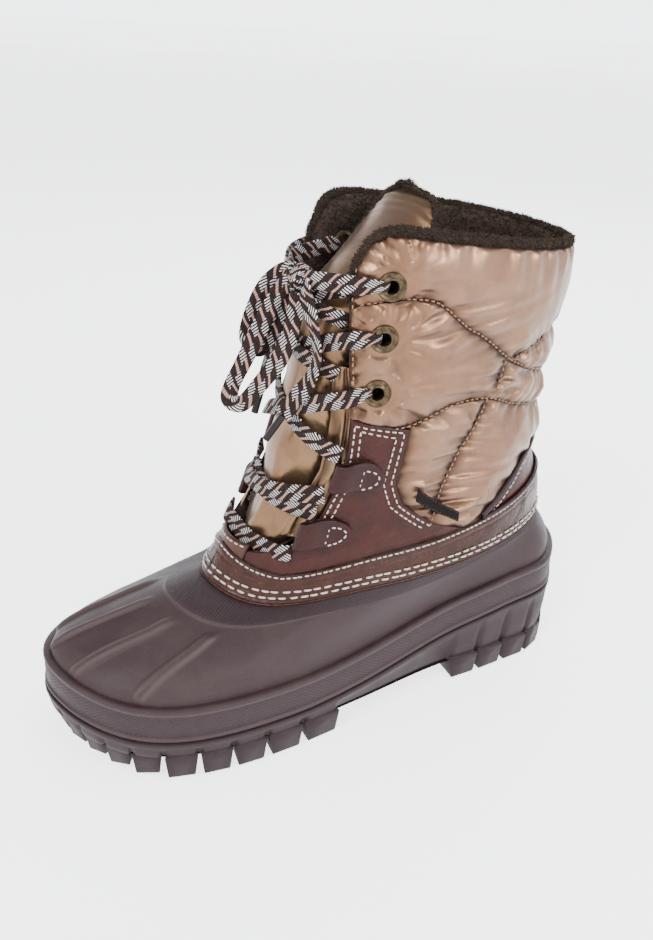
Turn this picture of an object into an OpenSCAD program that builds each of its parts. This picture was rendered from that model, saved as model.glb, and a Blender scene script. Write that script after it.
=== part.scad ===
// Insulated winter boot for a left foot: rubber lower, leather and quilted upper.
// Toe towards -Y, outer side towards +X, +Z up, origin under the middle of the sole.

/* [Sole] */
// Length of the sole, toe to heel
sole_length = 290; // [275:1:305]
// Width of the sole at its widest
sole_width = 106; // [98:1:114]
// Height of the groove above the ground at the ball of the foot
groove_height = 21; // [19:1:23]
// Height of the side band above the groove at the ball
foxing_height = 17; // [15:1:19]
// How far the heel's groove is above the ball's
heel_lift = 19; // [15:1:21]
// How far the toe curls up
toe_spring = 12; // [9:1:14]
// Depth of the tread lugs
lug_depth = 11; // [9:1:13]

/* [Upper] */
// Height of the collar at the front
collar_height = 247; // [237:1:257]
// Thickness of the rubber lower's wall
rubber_wall = 2.4; // [2.2:0.1:2.8]
// Thickness of the leather
leather = 1.6; // [1.2:0.1:2]
// How far the quilted panels stand proud between their seams
quilt_puff = 3.4; // [2:0.1:4.5]
// Thickness of the insulation behind the upper
wadding_thick = 3.9; // [3.4:0.1:4.2]
// Thickness of the fleece lining
lining_thick = 2.8; // [2.4:0.1:3]
// Radius of the fleece roll on the collar
collar_roll = 4.2; // [3.6:0.1:4.6]

/* [Lacing] */
// Outer diameter of an eyelet
eyelet_d = 12.5; // [11.5:0.1:13.5]
// Diameter of an eyelet's hole
eyelet_hole = 5.6; // [5:0.1:6]
// Width of the flat lace
lace_width = 8; // [7:0.5:9]
// Thickness of the flat lace
lace_thick = 1.8; // [1.4:0.1:2]

/* [Hidden] */

// Scale of the shape tables, which are drawn for a 290 x 106 x 247 boot
fx = sole_width / 106;
fy = sole_length / 290;
fz = collar_height / 247;
around = 72;      // points round a closed ring
gap = 0.08;       // air between layers that are sewn or glued together
wadding_gap = 0.45; // how far the wadding lies behind the upper's base surface
layer_margin = 5; // angle by which the wadding and lining stop short of the front edges
upper_top = 5.86; // station where the quilted panels end, under the collar roll

// Outline of the sole: toe, outer side to the heel, inner side back to the toe
OUTLINE = [[-3, -144.5], [22, -136], [41, -116], [51, -84], [53, -48], [49, -4], [43, 45], [42, 85],
           [36, 121], [2, 144.5], [-31, 123], [-39, 88], [-39, 45], [-41, 0], [-49, -45], [-53, -82],
           [-46, -115], [-27, -136]];
// Stations up the upper: front z, back z, front y, back y, half width, middle x, squareness, dip
STATIONS = [[74, 82, -65, 124, 45, 1.5, 2.0, 5],
            [97, 101, -53, 122, 42.5, 1.5, 2.05, 4],
            [122, 122, -40, 115, 40, 1, 2.15, 0],
            [152, 148, -28, 112, 39.5, 1, 2.3, 0],
            [185, 177, -21, 113, 40, 0, 2.4, 0],
            [218, 205, -19, 116, 41.5, 0, 2.4, 0],
            [247, 229, -17, 118.5, 43, -0.5, 2.4, 0]];
// Edges on the upper, as [angle from the front, station] points
BAND_TOP = [[0, 0.8], [38, 0.68], [90, 0.84], [115, 1.0], [150, 1.3], [180, 1.42]];
SEAM_HIGH = [[30, 4.68], [60, 4.95], [75, 4.95], [90, 4.45], [105, 4.0], [122, 3.75], [150, 3.58],
             [180, 3.5]];
SEAM_LOW = [[40, 2.98], [73, 3.1], [90, 3.42], [100, 3.42], [115, 3.22], [140, 3.02], [180, 2.95]];
COUNTER_TOP = [[108, 1.02], [123, 1.6], [134, 1.97], [146, 2.15], [170, 2.28], [180, 2.3]];
QUARTER_TOP = [[40, 3.24], [73, 3.08], [90, 2.9]];
// Edges on the upper, as [station, angle from the front] points
FRONT_OUTER = [[0.9, 17], [1.05, 32], [1.25, 40], [1.7, 45], [2.4, 49], [3.2, 45.5], [4, 39], [5, 34],
               [6, 37]];
FRONT_INNER = [[0.9, 14], [1.1, 22], [1.35, 32], [1.7, 40], [2.4, 46], [3.2, 46], [4, 44], [5, 50],
               [6, 58]];
// Top edge of the cuff near its front corner, as [angle past the front edge, station]
CUFF_TOP = [[0, 5.2], [3, 5.45], [8, 5.66], [15, 5.8], [22, 5.86]];
QUARTER_BACK = [[0.9, 100], [1.2, 89], [1.75, 77], [2.2, 72.5], [3.2, 73]];
// Eyelets and lace loops, as [station, angle from the front]
EYELETS_OUTER = [[5.12, 54], [4.38, 54], [3.62, 55]];
EYELETS_INNER = [[5.12, 68], [4.38, 62], [3.62, 58]];
LOOPS = [[2.38, 48], [1.42, 41]];

// ---- Functions ----
function cubic(a, b, c, d, t) =
    0.5 * (2 * b + (c - a) * t + (2 * a - 5 * b + 4 * c - d) * t * t + (3 * b - a - 3 * c + d) * t * t * t);
function along(v, x) =
    let (n = len(v) - 1, i = max(0, min(floor(x), n - 1)))
    cubic(v[max(i - 1, 0)], v[i], v[i + 1], v[min(i + 2, n)], x - i);
function round_trip(v, x) =
    let (n = len(v), f = floor(x), i = ((f % n) + n) % n)
    cubic(v[(i - 1 + n) % n], v[i], v[(i + 1) % n], v[(i + 2) % n], x - f);
function power(x, p) = sign(x) * pow(abs(x), p);
function unit(v) = v / norm(v);
function mix(a, b, t) = a + (b - a) * t;
function smooth(x) = let (t = max(0, min(1, x))) t * t * (3 - 2 * t);
function edge(points, x) = lookup(x, points);
function steps(n) = [for (i = [0:n]) i / n];

// Heights along the sole
function rise(y) = toe_spring * pow(max(0, (-y / fy - 85) / 60), 2);
function groove_z(y) = groove_height + rise(y) + heel_lift * smooth((y / fy + 40) / 160);
function foxing_z(y) = groove_z(y) + foxing_height;
function sole_bottom(y) = rise(y) + 2.5 * pow(max(0, (y / fy - 122) / 23), 2);

// A point of the sole's outline, and one moved inwards by d
function sole_point(t) = let (p = round_trip(OUTLINE, t)) [p.x * fx, p.y * fy];
function sole_in(t, d) =
    let (v = unit(sole_point(t + 0.05) - sole_point(t + len(OUTLINE) - 0.05)))
    sole_point(t) + d * [-v.y, v.x];
function ring_in(d) = [for (k = [0:around - 1]) sole_in(k * len(OUTLINE) / around, d)];
function lift(ring, height, add = 0) =
    [for (p = ring) [p.x, p.y, (height == "groove" ? groove_z(p.y)
                     : height == "foxing" ? foxing_z(p.y) : sole_bottom(p.y)) + add]];

// A point of the upper's base surface: station s, angle a from the front, outer side positive
function flare(s, a) = 5 * smooth((s - 4) / 2) * exp(-pow((a + 58) / 34, 2));
function upper_point(s, angle) =
    let (q = along(STATIONS, s), a = angle > 180 ? angle - 360 : angle,
         c = power(cos(a), 2 / q[6]), w = power(sin(a), 2 / q[6]),
         dip = abs(a) < 75 ? q[7] * pow(sin(2.4 * a), 2) : 0)
    [(q[5] + q[4] * w - flare(s, a)) * fx,
     ((q[2] + q[3]) / 2 - (q[3] - q[2]) / 2 * c) * fy,
     (mix(q[0], q[1], (1 - c) / 2) - dip - 2.5 * smooth((s - 4) / 2) * w) * fz];
function upper_out(s, a) =
    unit(cross(upper_point(s, a + 2) - upper_point(s, a - 2),
               upper_point(s + 0.06, a) - upper_point(s - 0.06, a)));
function upper_at(s, a, d) = upper_point(s, a) + d * upper_out(s, a);

// A point of the rubber lower: ring index k, share s of the way from the side band to the rim
function shell_base(k, s) =
    let (p = sole_in(k * len(OUTLINE) / around, 4.2), foot = [p.x, p.y, foxing_z(p.y)],
         rim = upper_at(0, k * 360 / around, 0.2),
         low = foot + [0, 0, 0.38 * (rim.z - foot.z)],
         high = [mix(rim.x, foot.x, 0.38), mix(rim.y, foot.y, 0.38), rim.z - 0.3 * (rim.z - foot.z)],
         r = 1 - s)
    r * r * r * foot + 3 * r * r * s * low + 3 * r * s * s * high + s * s * s * rim;
function shell_out(k, s) =
    unit(cross(shell_base(k + 0.5, s) - shell_base(k - 0.5, s),
               shell_base(k, min(1, s + 0.03)) - shell_base(k, max(0, s - 0.03))));
function shell_at(k, s, d) = shell_base(k, s) + d * shell_out(k, s);
function shell_ring(s, d) = [for (k = [0:around - 1]) shell_at(k, s, d)];

// A point of the tongue: share v up it, share u across it from -1 to 1. Its lower part follows the
// upper and its free end leans back into the mouth.
tongue_bend = 0.62; // share of the tongue that follows the upper
function tongue_half(s) = s < 3.2 ? min(44, edge(FRONT_OUTER, s) - 1) : 44;
function tongue_low(s, u) =
    upper_at(s, u * tongue_half(s),
             mix(-7.6, -2.6, smooth((s - 1.7) / 1)) - 7.2 * u * u * smooth((s - 1.3) / 1));
function tongue_tip(u) = [25.5 * u * fx, (44 + 2 * u - 2 * cos(90 * u)) * fy, (248 - 3.5 * u) * fz];
function tongue_base(v, u) =
    v < tongue_bend ? tongue_low(mix(0.84, 4.2, v / tongue_bend), u)
    : let (t = (v - tongue_bend) / (1 - tongue_bend), r = 1 - t, a = tongue_low(4.2, u),
           tip = tongue_tip(u),
           up = a + (tongue_low(4.2, u) - tongue_low(3.9, u)) * 2.2, back = tip - [0, 13, 16])
      r * r * r * a + 3 * r * r * t * up + 3 * r * t * t * back + t * t * t * tip;
function tongue_out(v, u) =
    unit(cross(tongue_base(v, u + 0.04) - tongue_base(v, u - 0.04),
               tongue_base(v + 0.02, u) - tongue_base(v - 0.02, u)));
function tongue_at(v, u, d) = tongue_base(v, u) + d * tongue_out(v, u);

// ---- Solids from grids of points ----
function tri2(a, b, c, d) = [[a, b, c], [a, c, d]];
// A panel with an outer and an inner grid; rows run up, columns run round
module panel(outer, inner) {
    r = len(outer);
    c = len(outer[0]);
    n = r * c;
    polyhedron([for (g = [outer, inner], row = g) each row], [
        for (i = [0:r - 2], j = [0:c - 2])
            each tri2(i * c + j, (i + 1) * c + j, (i + 1) * c + j + 1, i * c + j + 1),
        for (i = [0:r - 2], j = [0:c - 2])
            each tri2(n + i * c + j, n + i * c + j + 1, n + (i + 1) * c + j + 1, n + (i + 1) * c + j),
        for (j = [0:c - 2]) each tri2(j, j + 1, n + j + 1, n + j),
        for (j = [0:c - 2]) each tri2(n - c + j, 2 * n - c + j, 2 * n - c + j + 1, n - c + j + 1),
        for (i = [0:r - 2]) each tri2(i * c, n + i * c, n + (i + 1) * c, (i + 1) * c),
        for (i = [0:r - 2])
            each tri2((i + 1) * c - 1, (i + 2) * c - 1, n + (i + 2) * c - 1, n + (i + 1) * c - 1)]);
}
function wall_faces(rows, n) = [
    for (i = [0:rows - 2], j = [0:n - 1])
        each tri2(i * n + j, (i + 1) * n + j, (i + 1) * n + (j + 1) % n, i * n + (j + 1) % n)];
function lid_faces(at, n, up) = [
    for (k = [0:n / 2 - 1]) let (a = at + k, b = at + k + 1, c = at + n - k - 1, d = at + (n - k) % n)
        each (k == 0 ? (up ? [[a, c, b]] : [[a, b, c]])
              : k == n / 2 - 1 ? (up ? [[a, d, b]] : [[a, b, d]])
              : (up ? [[a, d, c], [a, c, b]] : [[a, b, c], [a, c, d]]))];
// A solid stacked from closed rings, with a lid on its first and last ring
module stack(rings) {
    n = len(rings[0]);
    m = len(rings);
    polyhedron([for (r = rings) each r],
               concat(wall_faces(m, n), lid_faces(0, n, false), lid_faces((m - 1) * n, n, true)));
}
// A solid band: closed rings up its outside and down its inside, joined end to end
module band(rings) {
    n = len(rings[0]);
    m = len(rings);
    polyhedron([for (r = rings) each r], [for (i = [0:m - 1], j = [0:n - 1])
        let (a = i * n, b = (i + 1) % m * n, k = (j + 1) % n) each tri2(a + j, b + j, b + k, a + k)]);
}
// A panel on the upper: top and bottom stations as functions of the share u across it
module upper_panel(cols, rows, angle, station, d_out, d_in) {
    at = function (u, v, d) let (s = station(u, v)) upper_at(s, angle(u, s), d);
    panel([for (v = steps(rows)) [for (u = steps(cols)) at(u, v, d_out(u, v))]],
          [for (v = steps(rows)) [for (u = steps(cols)) at(u, v, d_in(u, v))]]);
}
// Moves children to a point of the upper, with +Z along its outward direction
module on_upper(s, a, d) {
    n = upper_out(s, a);
    translate(upper_at(s, a, d)) rotate([0, acos(n.z), atan2(n.y, n.x)]) children();
}
// A flat cord swept along a route, with its face turned towards a given direction at each point
module flat_cord(route, face, per = 2, width = lace_width, thick = lace_thick) {
    last = len(route) - 1;
    count = last * per;
    sides = 8;
    polyhedron([for (i = [0:count]) let (x = i / per, c = along(route, x),
                    t = unit(along(route, min(last, x + 0.1)) - along(route, max(0, x - 0.1))),
                    w = unit(cross(t, along(face, x))), n = cross(w, t))
                each [for (k = [0:sides - 1]) let (q = 360 * (k + 0.5) / sides)
                      c + w * width / 2 * cos(q) + n * thick / 2 * sin(q)]],
        concat([[for (k = [sides - 1:-1:0]) k]],
               [for (i = [0:count - 1], k = [0:sides - 1]) let (k2 = (k + 1) % sides)
                each tri2(i * sides + k, i * sides + k2, (i + 1) * sides + k2, (i + 1) * sides + k)],
               [[for (k = [0:sides - 1]) count * sides + k]]));
}

// ---- Sole ----
module lug(t, half, depth_in) {
    y = sole_point(t).y;
    tuck = 4.5 * smooth((-y / fy - 95) / 40) + 1;
    hull() {
        translate([0, 0, sole_bottom(y)]) linear_extrude(0.4)
            polygon([sole_in(t - half, tuck), sole_in(t + half, tuck), sole_in(t + half * 0.8, depth_in),
                     sole_in(t - half * 0.8, depth_in)]);
        translate([0, 0, sole_bottom(y) + lug_depth]) linear_extrude(0.4)
            polygon([sole_in(t - half * 1.1, tuck / 2), sole_in(t + half * 1.1, tuck / 2),
                     sole_in(t + half * 0.9, depth_in + 2), sole_in(t - half * 0.9, depth_in + 2)]);
    }
}
module centre_lug(x, y) {
    hull() {
        translate([x, y, 0]) linear_extrude(0.4) square([16, 9], center = true);
        translate([x, y, lug_depth]) linear_extrude(0.4) square([18, 11], center = true);
    }
}
module outsole() {
    turns = len(OUTLINE);
    lugs_front = [for (i = [-10:9]) (i + 0.5) * 0.475];
    lugs_heel = [for (i = [-6:5]) turns / 2 + (i + 0.5) * 0.46];
    color([0.25, 0.19, 0.2]) union() {
        stack([lift(ring_in(4), "bottom", lug_depth - 1), lift(ring_in(1.8), "bottom", lug_depth + 1.5),
               lift(ring_in(0), "groove", -2), lift(ring_in(1), "groove", -gap)]);
        for (t = lugs_front) lug((t + turns) % turns + turns, 0.15, 17);
        for (t = lugs_heel) lug(t + turns, 0.15, 17);
        for (y = [-95:20:-15], x = [-17, 17]) centre_lug(x * fx, y * fy);
        for (y = [75:20:115], x = [-11, 11]) centre_lug(x * fx, y * fy);
    }
}
module foxing_band() {
    color([0.34, 0.28, 0.3])
        band([lift(ring_in(1.2), "groove", 0), lift(ring_in(1), "groove", foxing_height * 0.5),
              lift(ring_in(1.6), "foxing", -2), lift(ring_in(2.8), "foxing", 0),
              lift(ring_in(4.1), "foxing", 0), lift(ring_in(4.1), "groove", 0)]);
}
module rubber_shell() {
    rim_from = 0.78;
    outside = [for (s = [0, 0.12, 0.28, 0.45, 0.62, rim_from]) shell_ring(s, 0)];
    rim = [shell_ring(rim_from + 0.02, 1.1), shell_ring(0.9, 1.2), shell_ring(0.985, 1), shell_ring(1, 0.2)];
    inside = [for (s = [0.97, 0.78, 0.55, 0.28, 0.02]) shell_ring(s, -rubber_wall)];
    color([0.33, 0.27, 0.29])
        stack(concat([lift(ring_in(4.2), "groove", 0.1)], outside, rim, inside,
                     [lift(ring_in(4.2 + rubber_wall), "groove", 2.2)]));
}
// A flat layer inside the rubber lower, from one height above the groove to another
module layer(inset, low, high) {
    stack([lift(ring_in(inset), "groove", low), lift(ring_in(inset), "groove", high)]);
}
module midsole() {
    color([0.75, 0.73, 0.7]) layer(7, 2.3, 5.6);
}
module shank() {
    shank_ys = [for (t = steps(8)) mix(-30, 95, t) * fy];
    color([0.7, 0.7, 0.72]) panel(
        [for (y = shank_ys) [for (x = [9, -9]) [x, y, groove_z(y) + 5.7]]],
        [for (y = shank_ys) [for (x = [9, -9]) [x, y, groove_z(y) + 6.8]]]);
}
module insole_board() {
    color([0.72, 0.6, 0.42]) layer(7, 6.9, 8.8);
}
module footbed() {
    color([0.24, 0.2, 0.19]) layer(13.6, 9.2, 14);
}
module shell_liner(k0, k1, s0, s1, from_d, to_d) {
    panel([for (v = steps(5)) [for (k = [k0:2:k1]) shell_at(k, mix(s0, s1, v), from_d)]],
          [for (v = steps(5)) [for (k = [k0:2:k1]) shell_at(k, mix(s0, s1, v), to_d)]]);
}
module toe_puff() {
    color([0.86, 0.84, 0.78]) shell_liner(-11, 11, 0.16, 0.68, -rubber_wall - 0.6, -rubber_wall - 1.4);
}
module heel_stiffener() {
    color([0.86, 0.84, 0.78]) shell_liner(29, 43, 0.16, 0.88, -rubber_wall - 0.25, -rubber_wall - 1.1);
}
module bootie_lining() {
    outer_d = -rubber_wall - 2.2;
    inner_d = outer_d - 3;
    levels = [0.12, 0.32, 0.6, 0.96];
    color([0.3, 0.25, 0.23])
        band(concat([lift(ring_in(4.2 - outer_d), "groove", 9.4)], [for (s = levels) shell_ring(s, outer_d)],
                    [for (i = [len(levels) - 1:-1:0]) shell_ring(levels[i], inner_d)],
                    [lift(ring_in(4.2 - inner_d), "groove", 9.4)]));
}

// ---- Leather ----
leather_colour = [0.36, 0.2, 0.17];
band_low = 0.05;  // station of the band's lower edge, just above the rubber's rim
band_lift = 1.15; // how far the band's back lies off the upper's base surface
module collar_band() {
    angles = [for (k = [0:around - 1]) k * 360 / around];
    top = [for (a = angles) edge(BAND_TOP, a > 180 ? 360 - a : a)];
    color(leather_colour) band(concat(
        [for (v = [0, 0.5, 1]) [for (i = [0:around - 1])
            upper_at(mix(band_low, top[i], v), angles[i], leather + band_lift - 0.6 * v)]],
        [for (v = [1, 0.5, 0]) [for (i = [0:around - 1])
            upper_at(mix(band_low, top[i], v), angles[i], band_lift)]]));
}
module vamp() {
    color(leather_colour) upper_panel(8, 3, function (u, s) mix(-16.6, 16.6, u),
        function (u, v) mix(0.5, 0.94 + 0.04 * pow(2 * u - 1, 2), v),
        function (u, v) 0.7, function (u, v) 0);
}
module quarter(side) {
    front = function (s) edge(FRONT_OUTER, s);
    color(leather_colour) upper_panel(8, 11,
        function (u, s) side * mix(front(s), edge(QUARTER_BACK, s), side > 0 ? u : 1 - u),
        function (u, v) mix(0.55, mix(3.24, 3.08, side > 0 ? u : 1 - u), v),
        function (u, v) v < 0.1 ? 0.7 : leather * min(1, 0.45 + v), function (u, v) 0);
}
module quarter_outer() {
    quarter(1);
}
module quarter_inner() {
    quarter(-1);
}
module heel_counter() {
    color(leather_colour) upper_panel(18, 5, function (u, s) mix(112, 248, u),
        function (u, v) let (a = mix(112, 248, u), b = a > 180 ? 360 - a : a)
            mix(0.8, edge(COUNTER_TOP, b) - 0.03, v),
        function (u, v) 0.65, function (u, v) 0.05);
}

// ---- Quilted shaft ----
nylon = [0.74, 0.6, 0.5];
function puff(u, v) = quilt_puff * pow(max(0, sin(180 * u) * sin(180 * v)), 0.45);
// Holes for the eyelets' barrels; in the panels, also a seat for the flange
module eyelet_holes(places, side, seat = false) {
    for (p = places) {
        on_upper(p[0], side * p[1], -12) cylinder(d = eyelet_hole + 1.6, h = 24, $fn = 16);
        if (seat)
            on_upper(p[0], side * p[1], eyelet_rest - 0.2) cylinder(d = eyelet_d + 0.5, h = 8, $fn = 16);
    }
}
eyelet_rest = 3.2; // height of an eyelet's flange off the upper's base surface
// A quilted panel on one side, between a lower and an upper edge and two angles
module quilt(side, cols, rows, from, to, low, high) {
    across = function (u, s) side * mix(from(s), to, side > 0 ? u : 1 - u);
    // The angle depends on the station and the station on the angle, so each is found in two passes
    height = function (u, v)
        let (w = side > 0 ? u : 1 - u, a = mix(from((low(90) + high(90)) / 2), to, w),
             b = mix(from(mix(low(a), high(a), v)), to, w), c = mix(from(mix(low(b), high(b), v)), to, w))
        mix(low(c), high(c), v);
    color(nylon) upper_panel(cols, rows, across, height,
        function (u, v) 1 + puff(u, v), function (u, v) 0.2);
}
module cuff(side, front) {
    resize([0, 0, 0]) difference() {
        quilt(side, 14, 8, function (s) edge(front, s), 179.8, function (a) edge(SEAM_HIGH, a) + 0.02,
              function (a) edge(CUFF_TOP, a - edge(front, 5.5)) - 0.05);
        eyelet_holes([side > 0 ? EYELETS_OUTER[0] : EYELETS_INNER[0]], side, true);
    }
}
module quilt_cuff_outer() {
    cuff(1, FRONT_OUTER);
}
module quilt_cuff_inner() {
    cuff(-1, FRONT_INNER);
}
module middle_quilt(side, front) {
    eyes = side > 0 ? EYELETS_OUTER : EYELETS_INNER;
    resize([0, 0, 0]) difference() {
        quilt(side, 16, 8, function (s) edge(front, s), 179.8,
              function (a) max(edge(SEAM_LOW, a), a < 73 ? edge(QUARTER_TOP, a) : 0) + 0.06,
              function (a) edge(SEAM_HIGH, a) - 0.02);
        eyelet_holes([eyes[1], eyes[2]], side, true);
    }
}
module quilt_mid_outer() {
    middle_quilt(1, FRONT_OUTER);
}
module quilt_mid_inner() {
    middle_quilt(-1, FRONT_INNER);
}
module low_quilt(side) {
    quilt(side, 12, 7, function (s) edge(QUARTER_BACK, s) + 0.8, 179.8,
          function (a) max(edge(BAND_TOP, a), edge(COUNTER_TOP, a)) + 0.13,
          function (a) edge(SEAM_LOW, a) - 0.03);
}
module quilt_low_outer() {
    low_quilt(1);
}
module quilt_low_inner() {
    low_quilt(-1);
}
// A layer that runs round the whole shaft behind the panels, open at the front
module shaft_layer(s0, s1, margin, d_out, d_in) {
    across = function (u, s)
        mix(edge(FRONT_OUTER, s) + margin, 360 - edge(FRONT_INNER, s) - margin, u);
    top = function (u) min(s1, edge(CUFF_TOP, (u < 0.5 ? u : 1 - u) * 270)) - 0.12;
    upper_panel(24, 7, across, function (u, v) mix(s0, top(u), v), function (u, v) d_out,
                function (u, v) d_in);
}
module all_holes() {
    eyelet_holes(EYELETS_OUTER, 1);
    eyelet_holes(EYELETS_INNER, -1);
}
module shaft_wadding() {
    color([0.93, 0.92, 0.88]) resize([0, 0, 0]) difference() {
        shaft_layer(0.35, upper_top, layer_margin, -wadding_gap, -wadding_gap - wadding_thick);
        all_holes();
    }
}
module shaft_lining() {
    d = -gap - wadding_gap - wadding_thick;
    color([0.22, 0.17, 0.15]) resize([0, 0, 0]) difference() {
        shaft_layer(0.35, upper_top, layer_margin, d, d - lining_thick);
        all_holes();
    }
}
// The fleece roll along the collar, from one front edge round the back to the other
module collar_trim() {
    d = -wadding_thick / 2;
    turns = 56;
    front = edge(FRONT_OUTER, 5.5);
    back = 360 - edge(FRONT_INNER, 5.5);
    rim = function (past) edge(CUFF_TOP, past) + 0.16;
    path = [for (i = [0:turns]) let (a = mix(front - 2, back + 2, i / turns))
            upper_at(rim(min(a - front, back - a)), a, d)];
    last = len(path) - 1;
    sides = 8;
    color([0.24, 0.19, 0.16]) polyhedron(
        [for (i = [0:last]) let (t = unit(path[min(last, i + 1)] - path[max(0, i - 1)]),
             out = unit(path[i] - [0, 50, 150]), w = unit(cross(out, t)), n = cross(t, w))
         each [for (k = [0:sides - 1]) let (q = 360 * k / sides)
               path[i] + collar_roll * (w * cos(q) + n * sin(q))]],
        concat([[for (k = [0:sides - 1]) k]],
               [for (i = [0:last - 1], k = [0:sides - 1]) let (k2 = (k + 1) % sides)
                each tri2(i * sides + k, (i + 1) * sides + k, (i + 1) * sides + k2, i * sides + k2)],
               [[for (k = [sides - 1:-1:0]) last * sides + k]]));
}

// ---- Tongue ----
module tongue_layer(v0, v1, half, d_out, d_in) {
    panel([for (v = steps(14)) [for (u = steps(6)) tongue_at(mix(v0, v1, v), mix(-half, half, u), d_out)]],
          [for (v = steps(14)) [for (u = steps(6)) tongue_at(mix(v0, v1, v), mix(-half, half, u), d_in)]]);
}
module tongue_shell() {
    color(nylon) tongue_layer(0, 1, 1, 0, -0.8);
}
module tongue_pad() {
    color([0.93, 0.92, 0.88]) tongue_layer(0.02, 0.985, 0.95, -1.5, -5);
}
module tongue_lining() {
    color([0.22, 0.17, 0.15]) tongue_layer(0.01, 1, 0.98, -5.6, -7.6);
}
// A thin gusset from a quarter's inside towards the tongue
module gusset(side, front) {
    across = function (u, s) side * (edge(front, s) + mix(-9, 1, side > 0 ? u : 1 - u));
    depth = function (u) mix(-2, -0.4, side > 0 ? u : 1 - u);
    color(nylon * 0.9) upper_panel(5, 8, across, function (u, v) mix(1.75, 3.6, v),
        function (u, v) depth(u), function (u, v) depth(u) - 0.6);
}
module gusset_outer() {
    gusset(1, FRONT_OUTER);
}
module gusset_inner() {
    gusset(-1, FRONT_INNER);
}

// ---- Eyelets, loops and tag ----
brass = [0.5, 0.45, 0.34];
module eyelet() {
    r = eyelet_d / 2;
    h = eyelet_hole / 2;
    barrel = -eyelet_rest + washer_d - 0.2;
    rotate_extrude($fn = 48) polygon([[h, barrel], [h + 0.5, barrel], [h + 0.5, -0.1], [r, -0.1], [r, 0.4],
                                      [r - 0.8, 1], [h + 0.9, 1.1], [h, 0.6]]);
}
module washer() {
    rotate_extrude($fn = 48) translate([eyelet_hole / 2 + 0.55, 0]) square([2.6, 0.6]);
}
module on_places(places, side, d) {
    for (p = places) on_upper(p[0], side * p[1], d) children();
}
module eyelets_outer() {
    color(brass) on_places(EYELETS_OUTER, 1, eyelet_rest) eyelet();
}
module eyelets_inner() {
    color(brass) on_places(EYELETS_INNER, -1, eyelet_rest) eyelet();
}
washer_d = -wadding_gap - wadding_thick - lining_thick - 1.4;
module washers_outer() {
    color(brass) on_places(EYELETS_OUTER, 1, washer_d) washer();
}
module washers_inner() {
    color(brass) on_places(EYELETS_INNER, -1, washer_d) washer();
}
// A leather loop: a tongue-shaped tab lying on the quarter, thick where it folds round the lace
module lace_loop(s, a, side) {
    tall = 0.3;
    long = 22;
    rows = 6;
    cols = 8;
    shrink = function (w) w < 0.6 ? 1 : sqrt(max(0.02, 1 - pow((w - 0.6) / 0.4, 2)));
    at = function (u, v, d) let (w = side > 0 ? u : 1 - u)
        upper_at(s + (2 * v - 1) * tall * shrink(w) - 0.25 * w * w, side * (a - 3 + long * w), d);
    hump = function (u) let (w = side > 0 ? u : 1 - u) 2.4 * pow(max(0, 1 - w / 0.3), 0.5);
    panel([for (v = steps(rows)) [for (u = steps(cols)) at(u, v, leather * 2.1 + hump(u))]],
          [for (v = steps(rows)) [for (u = steps(cols)) at(u, v, leather + 0.12)]]);
}
module lace_loops_outer() {
    color(leather_colour) for (p = LOOPS) lace_loop(p[0], p[1], 1);
}
module lace_loops_inner() {
    color(leather_colour) for (p = LOOPS) lace_loop(p[0], p[1], -1);
}
module side_tag() {
    color([0.2, 0.16, 0.15]) upper_panel(6, 2, function (u, s) mix(79, 95, u),
        function (u, v) mix(mix(1.86, 1.2, u), mix(2.12, 1.42, u), v),
        function (u, v) 4.9, function (u, v) 4.3);
}

// ---- Lace ----
lace_colour = [0.24, 0.18, 0.18];
// Strands between the eyelets and loops, from the lowest bar up to the knot. Each point is a
// station, an angle from the front, and a height off the upper's base surface.
STRANDS = [
    [[1.08, 38, 3.6], [1.07, 32, 2.6], [1.06, 20, -3], [1.05, 0, -5], [1.06, -12, -3], [1.08, -22, 2.6],
     [1.08, -32, 3.6]],
    [[1.76, 43, 3.8], [1.8, 30, -0.5], [1.88, 12, -4], [1.96, -10, -4], [2.02, -28, -0.5], [2.06, -41, 3.4]],
    [[1.76, -38, 3.4], [1.8, -28, 1.5], [1.88, -10, -1.6], [1.96, 12, -1.6], [2.02, 30, 1.5],
     [2.06, 44, 4]],
    [[2.7, 45, 4], [2.85, 30, 1], [3.05, 10, -0.4], [3.25, -12, -0.4], [3.42, -30, 1.4], [3.54, -43, 5.2],
     [3.62, -54, 5.8]],
    [[2.7, -44, 3.2], [2.85, -28, 3], [3.05, -8, 1.8], [3.25, 12, 1.8], [3.42, 30, 3], [3.53, 42, 5.4],
     [3.62, 51, 5.8]],
    [[3.75, -38, -4], [3.85, -22, -1.8], [4, 0, -0.4], [4.15, 20, -0.4], [4.28, 34, 3.6], [4.36, 43, 5.6],
     [4.38, 51, 5.8]],
    [[3.76, 35, -3.4], [3.86, 22, 0.2], [4, 0, 1.8], [4.15, -20, 1.6], [4.28, -38, 4], [4.36, -49, 5.6],
     [4.38, -58, 5.8]],
    [[4.5, -40, -4], [4.6, -20, -1], [4.72, 0, 0], [4.85, 18, -1.5], [4.95, 30, -4]],
    [[4.5, 34, -3], [4.6, 20, 1], [4.75, 0, 2.4], [4.88, -20, 2], [4.98, -40, 4], [5.07, -54, 5.8],
     [5.12, -64, 6]],
    [[5.12, 51, 5.8], [5.09, 40, 5.8], [5.06, 30, 5], [5.02, 18, 4.6], [5, 11, 5]],
    [[5.12, -64, -9.8], [5.1, -50, -10], [5.06, -30, -4], [5.02, -10, 2], [5, 0, 4.6]]];
module strand(points) {
    flat_cord([for (p = points) upper_at(p[0], p[1], p[2])], [for (p = points) upper_out(p[0], p[1])]);
}
module lace() {
    color(lace_colour) for (points = STRANDS) strand(points);
}
module lace_knot() {
    color(lace_colour) translate([6, -22.5, 217]) hull() {
        translate([-3.5, 0, 1]) sphere(d = 9, $fn = 16);
        translate([3.5, 0, -1]) sphere(d = 9, $fn = 16);
    }
}
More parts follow.
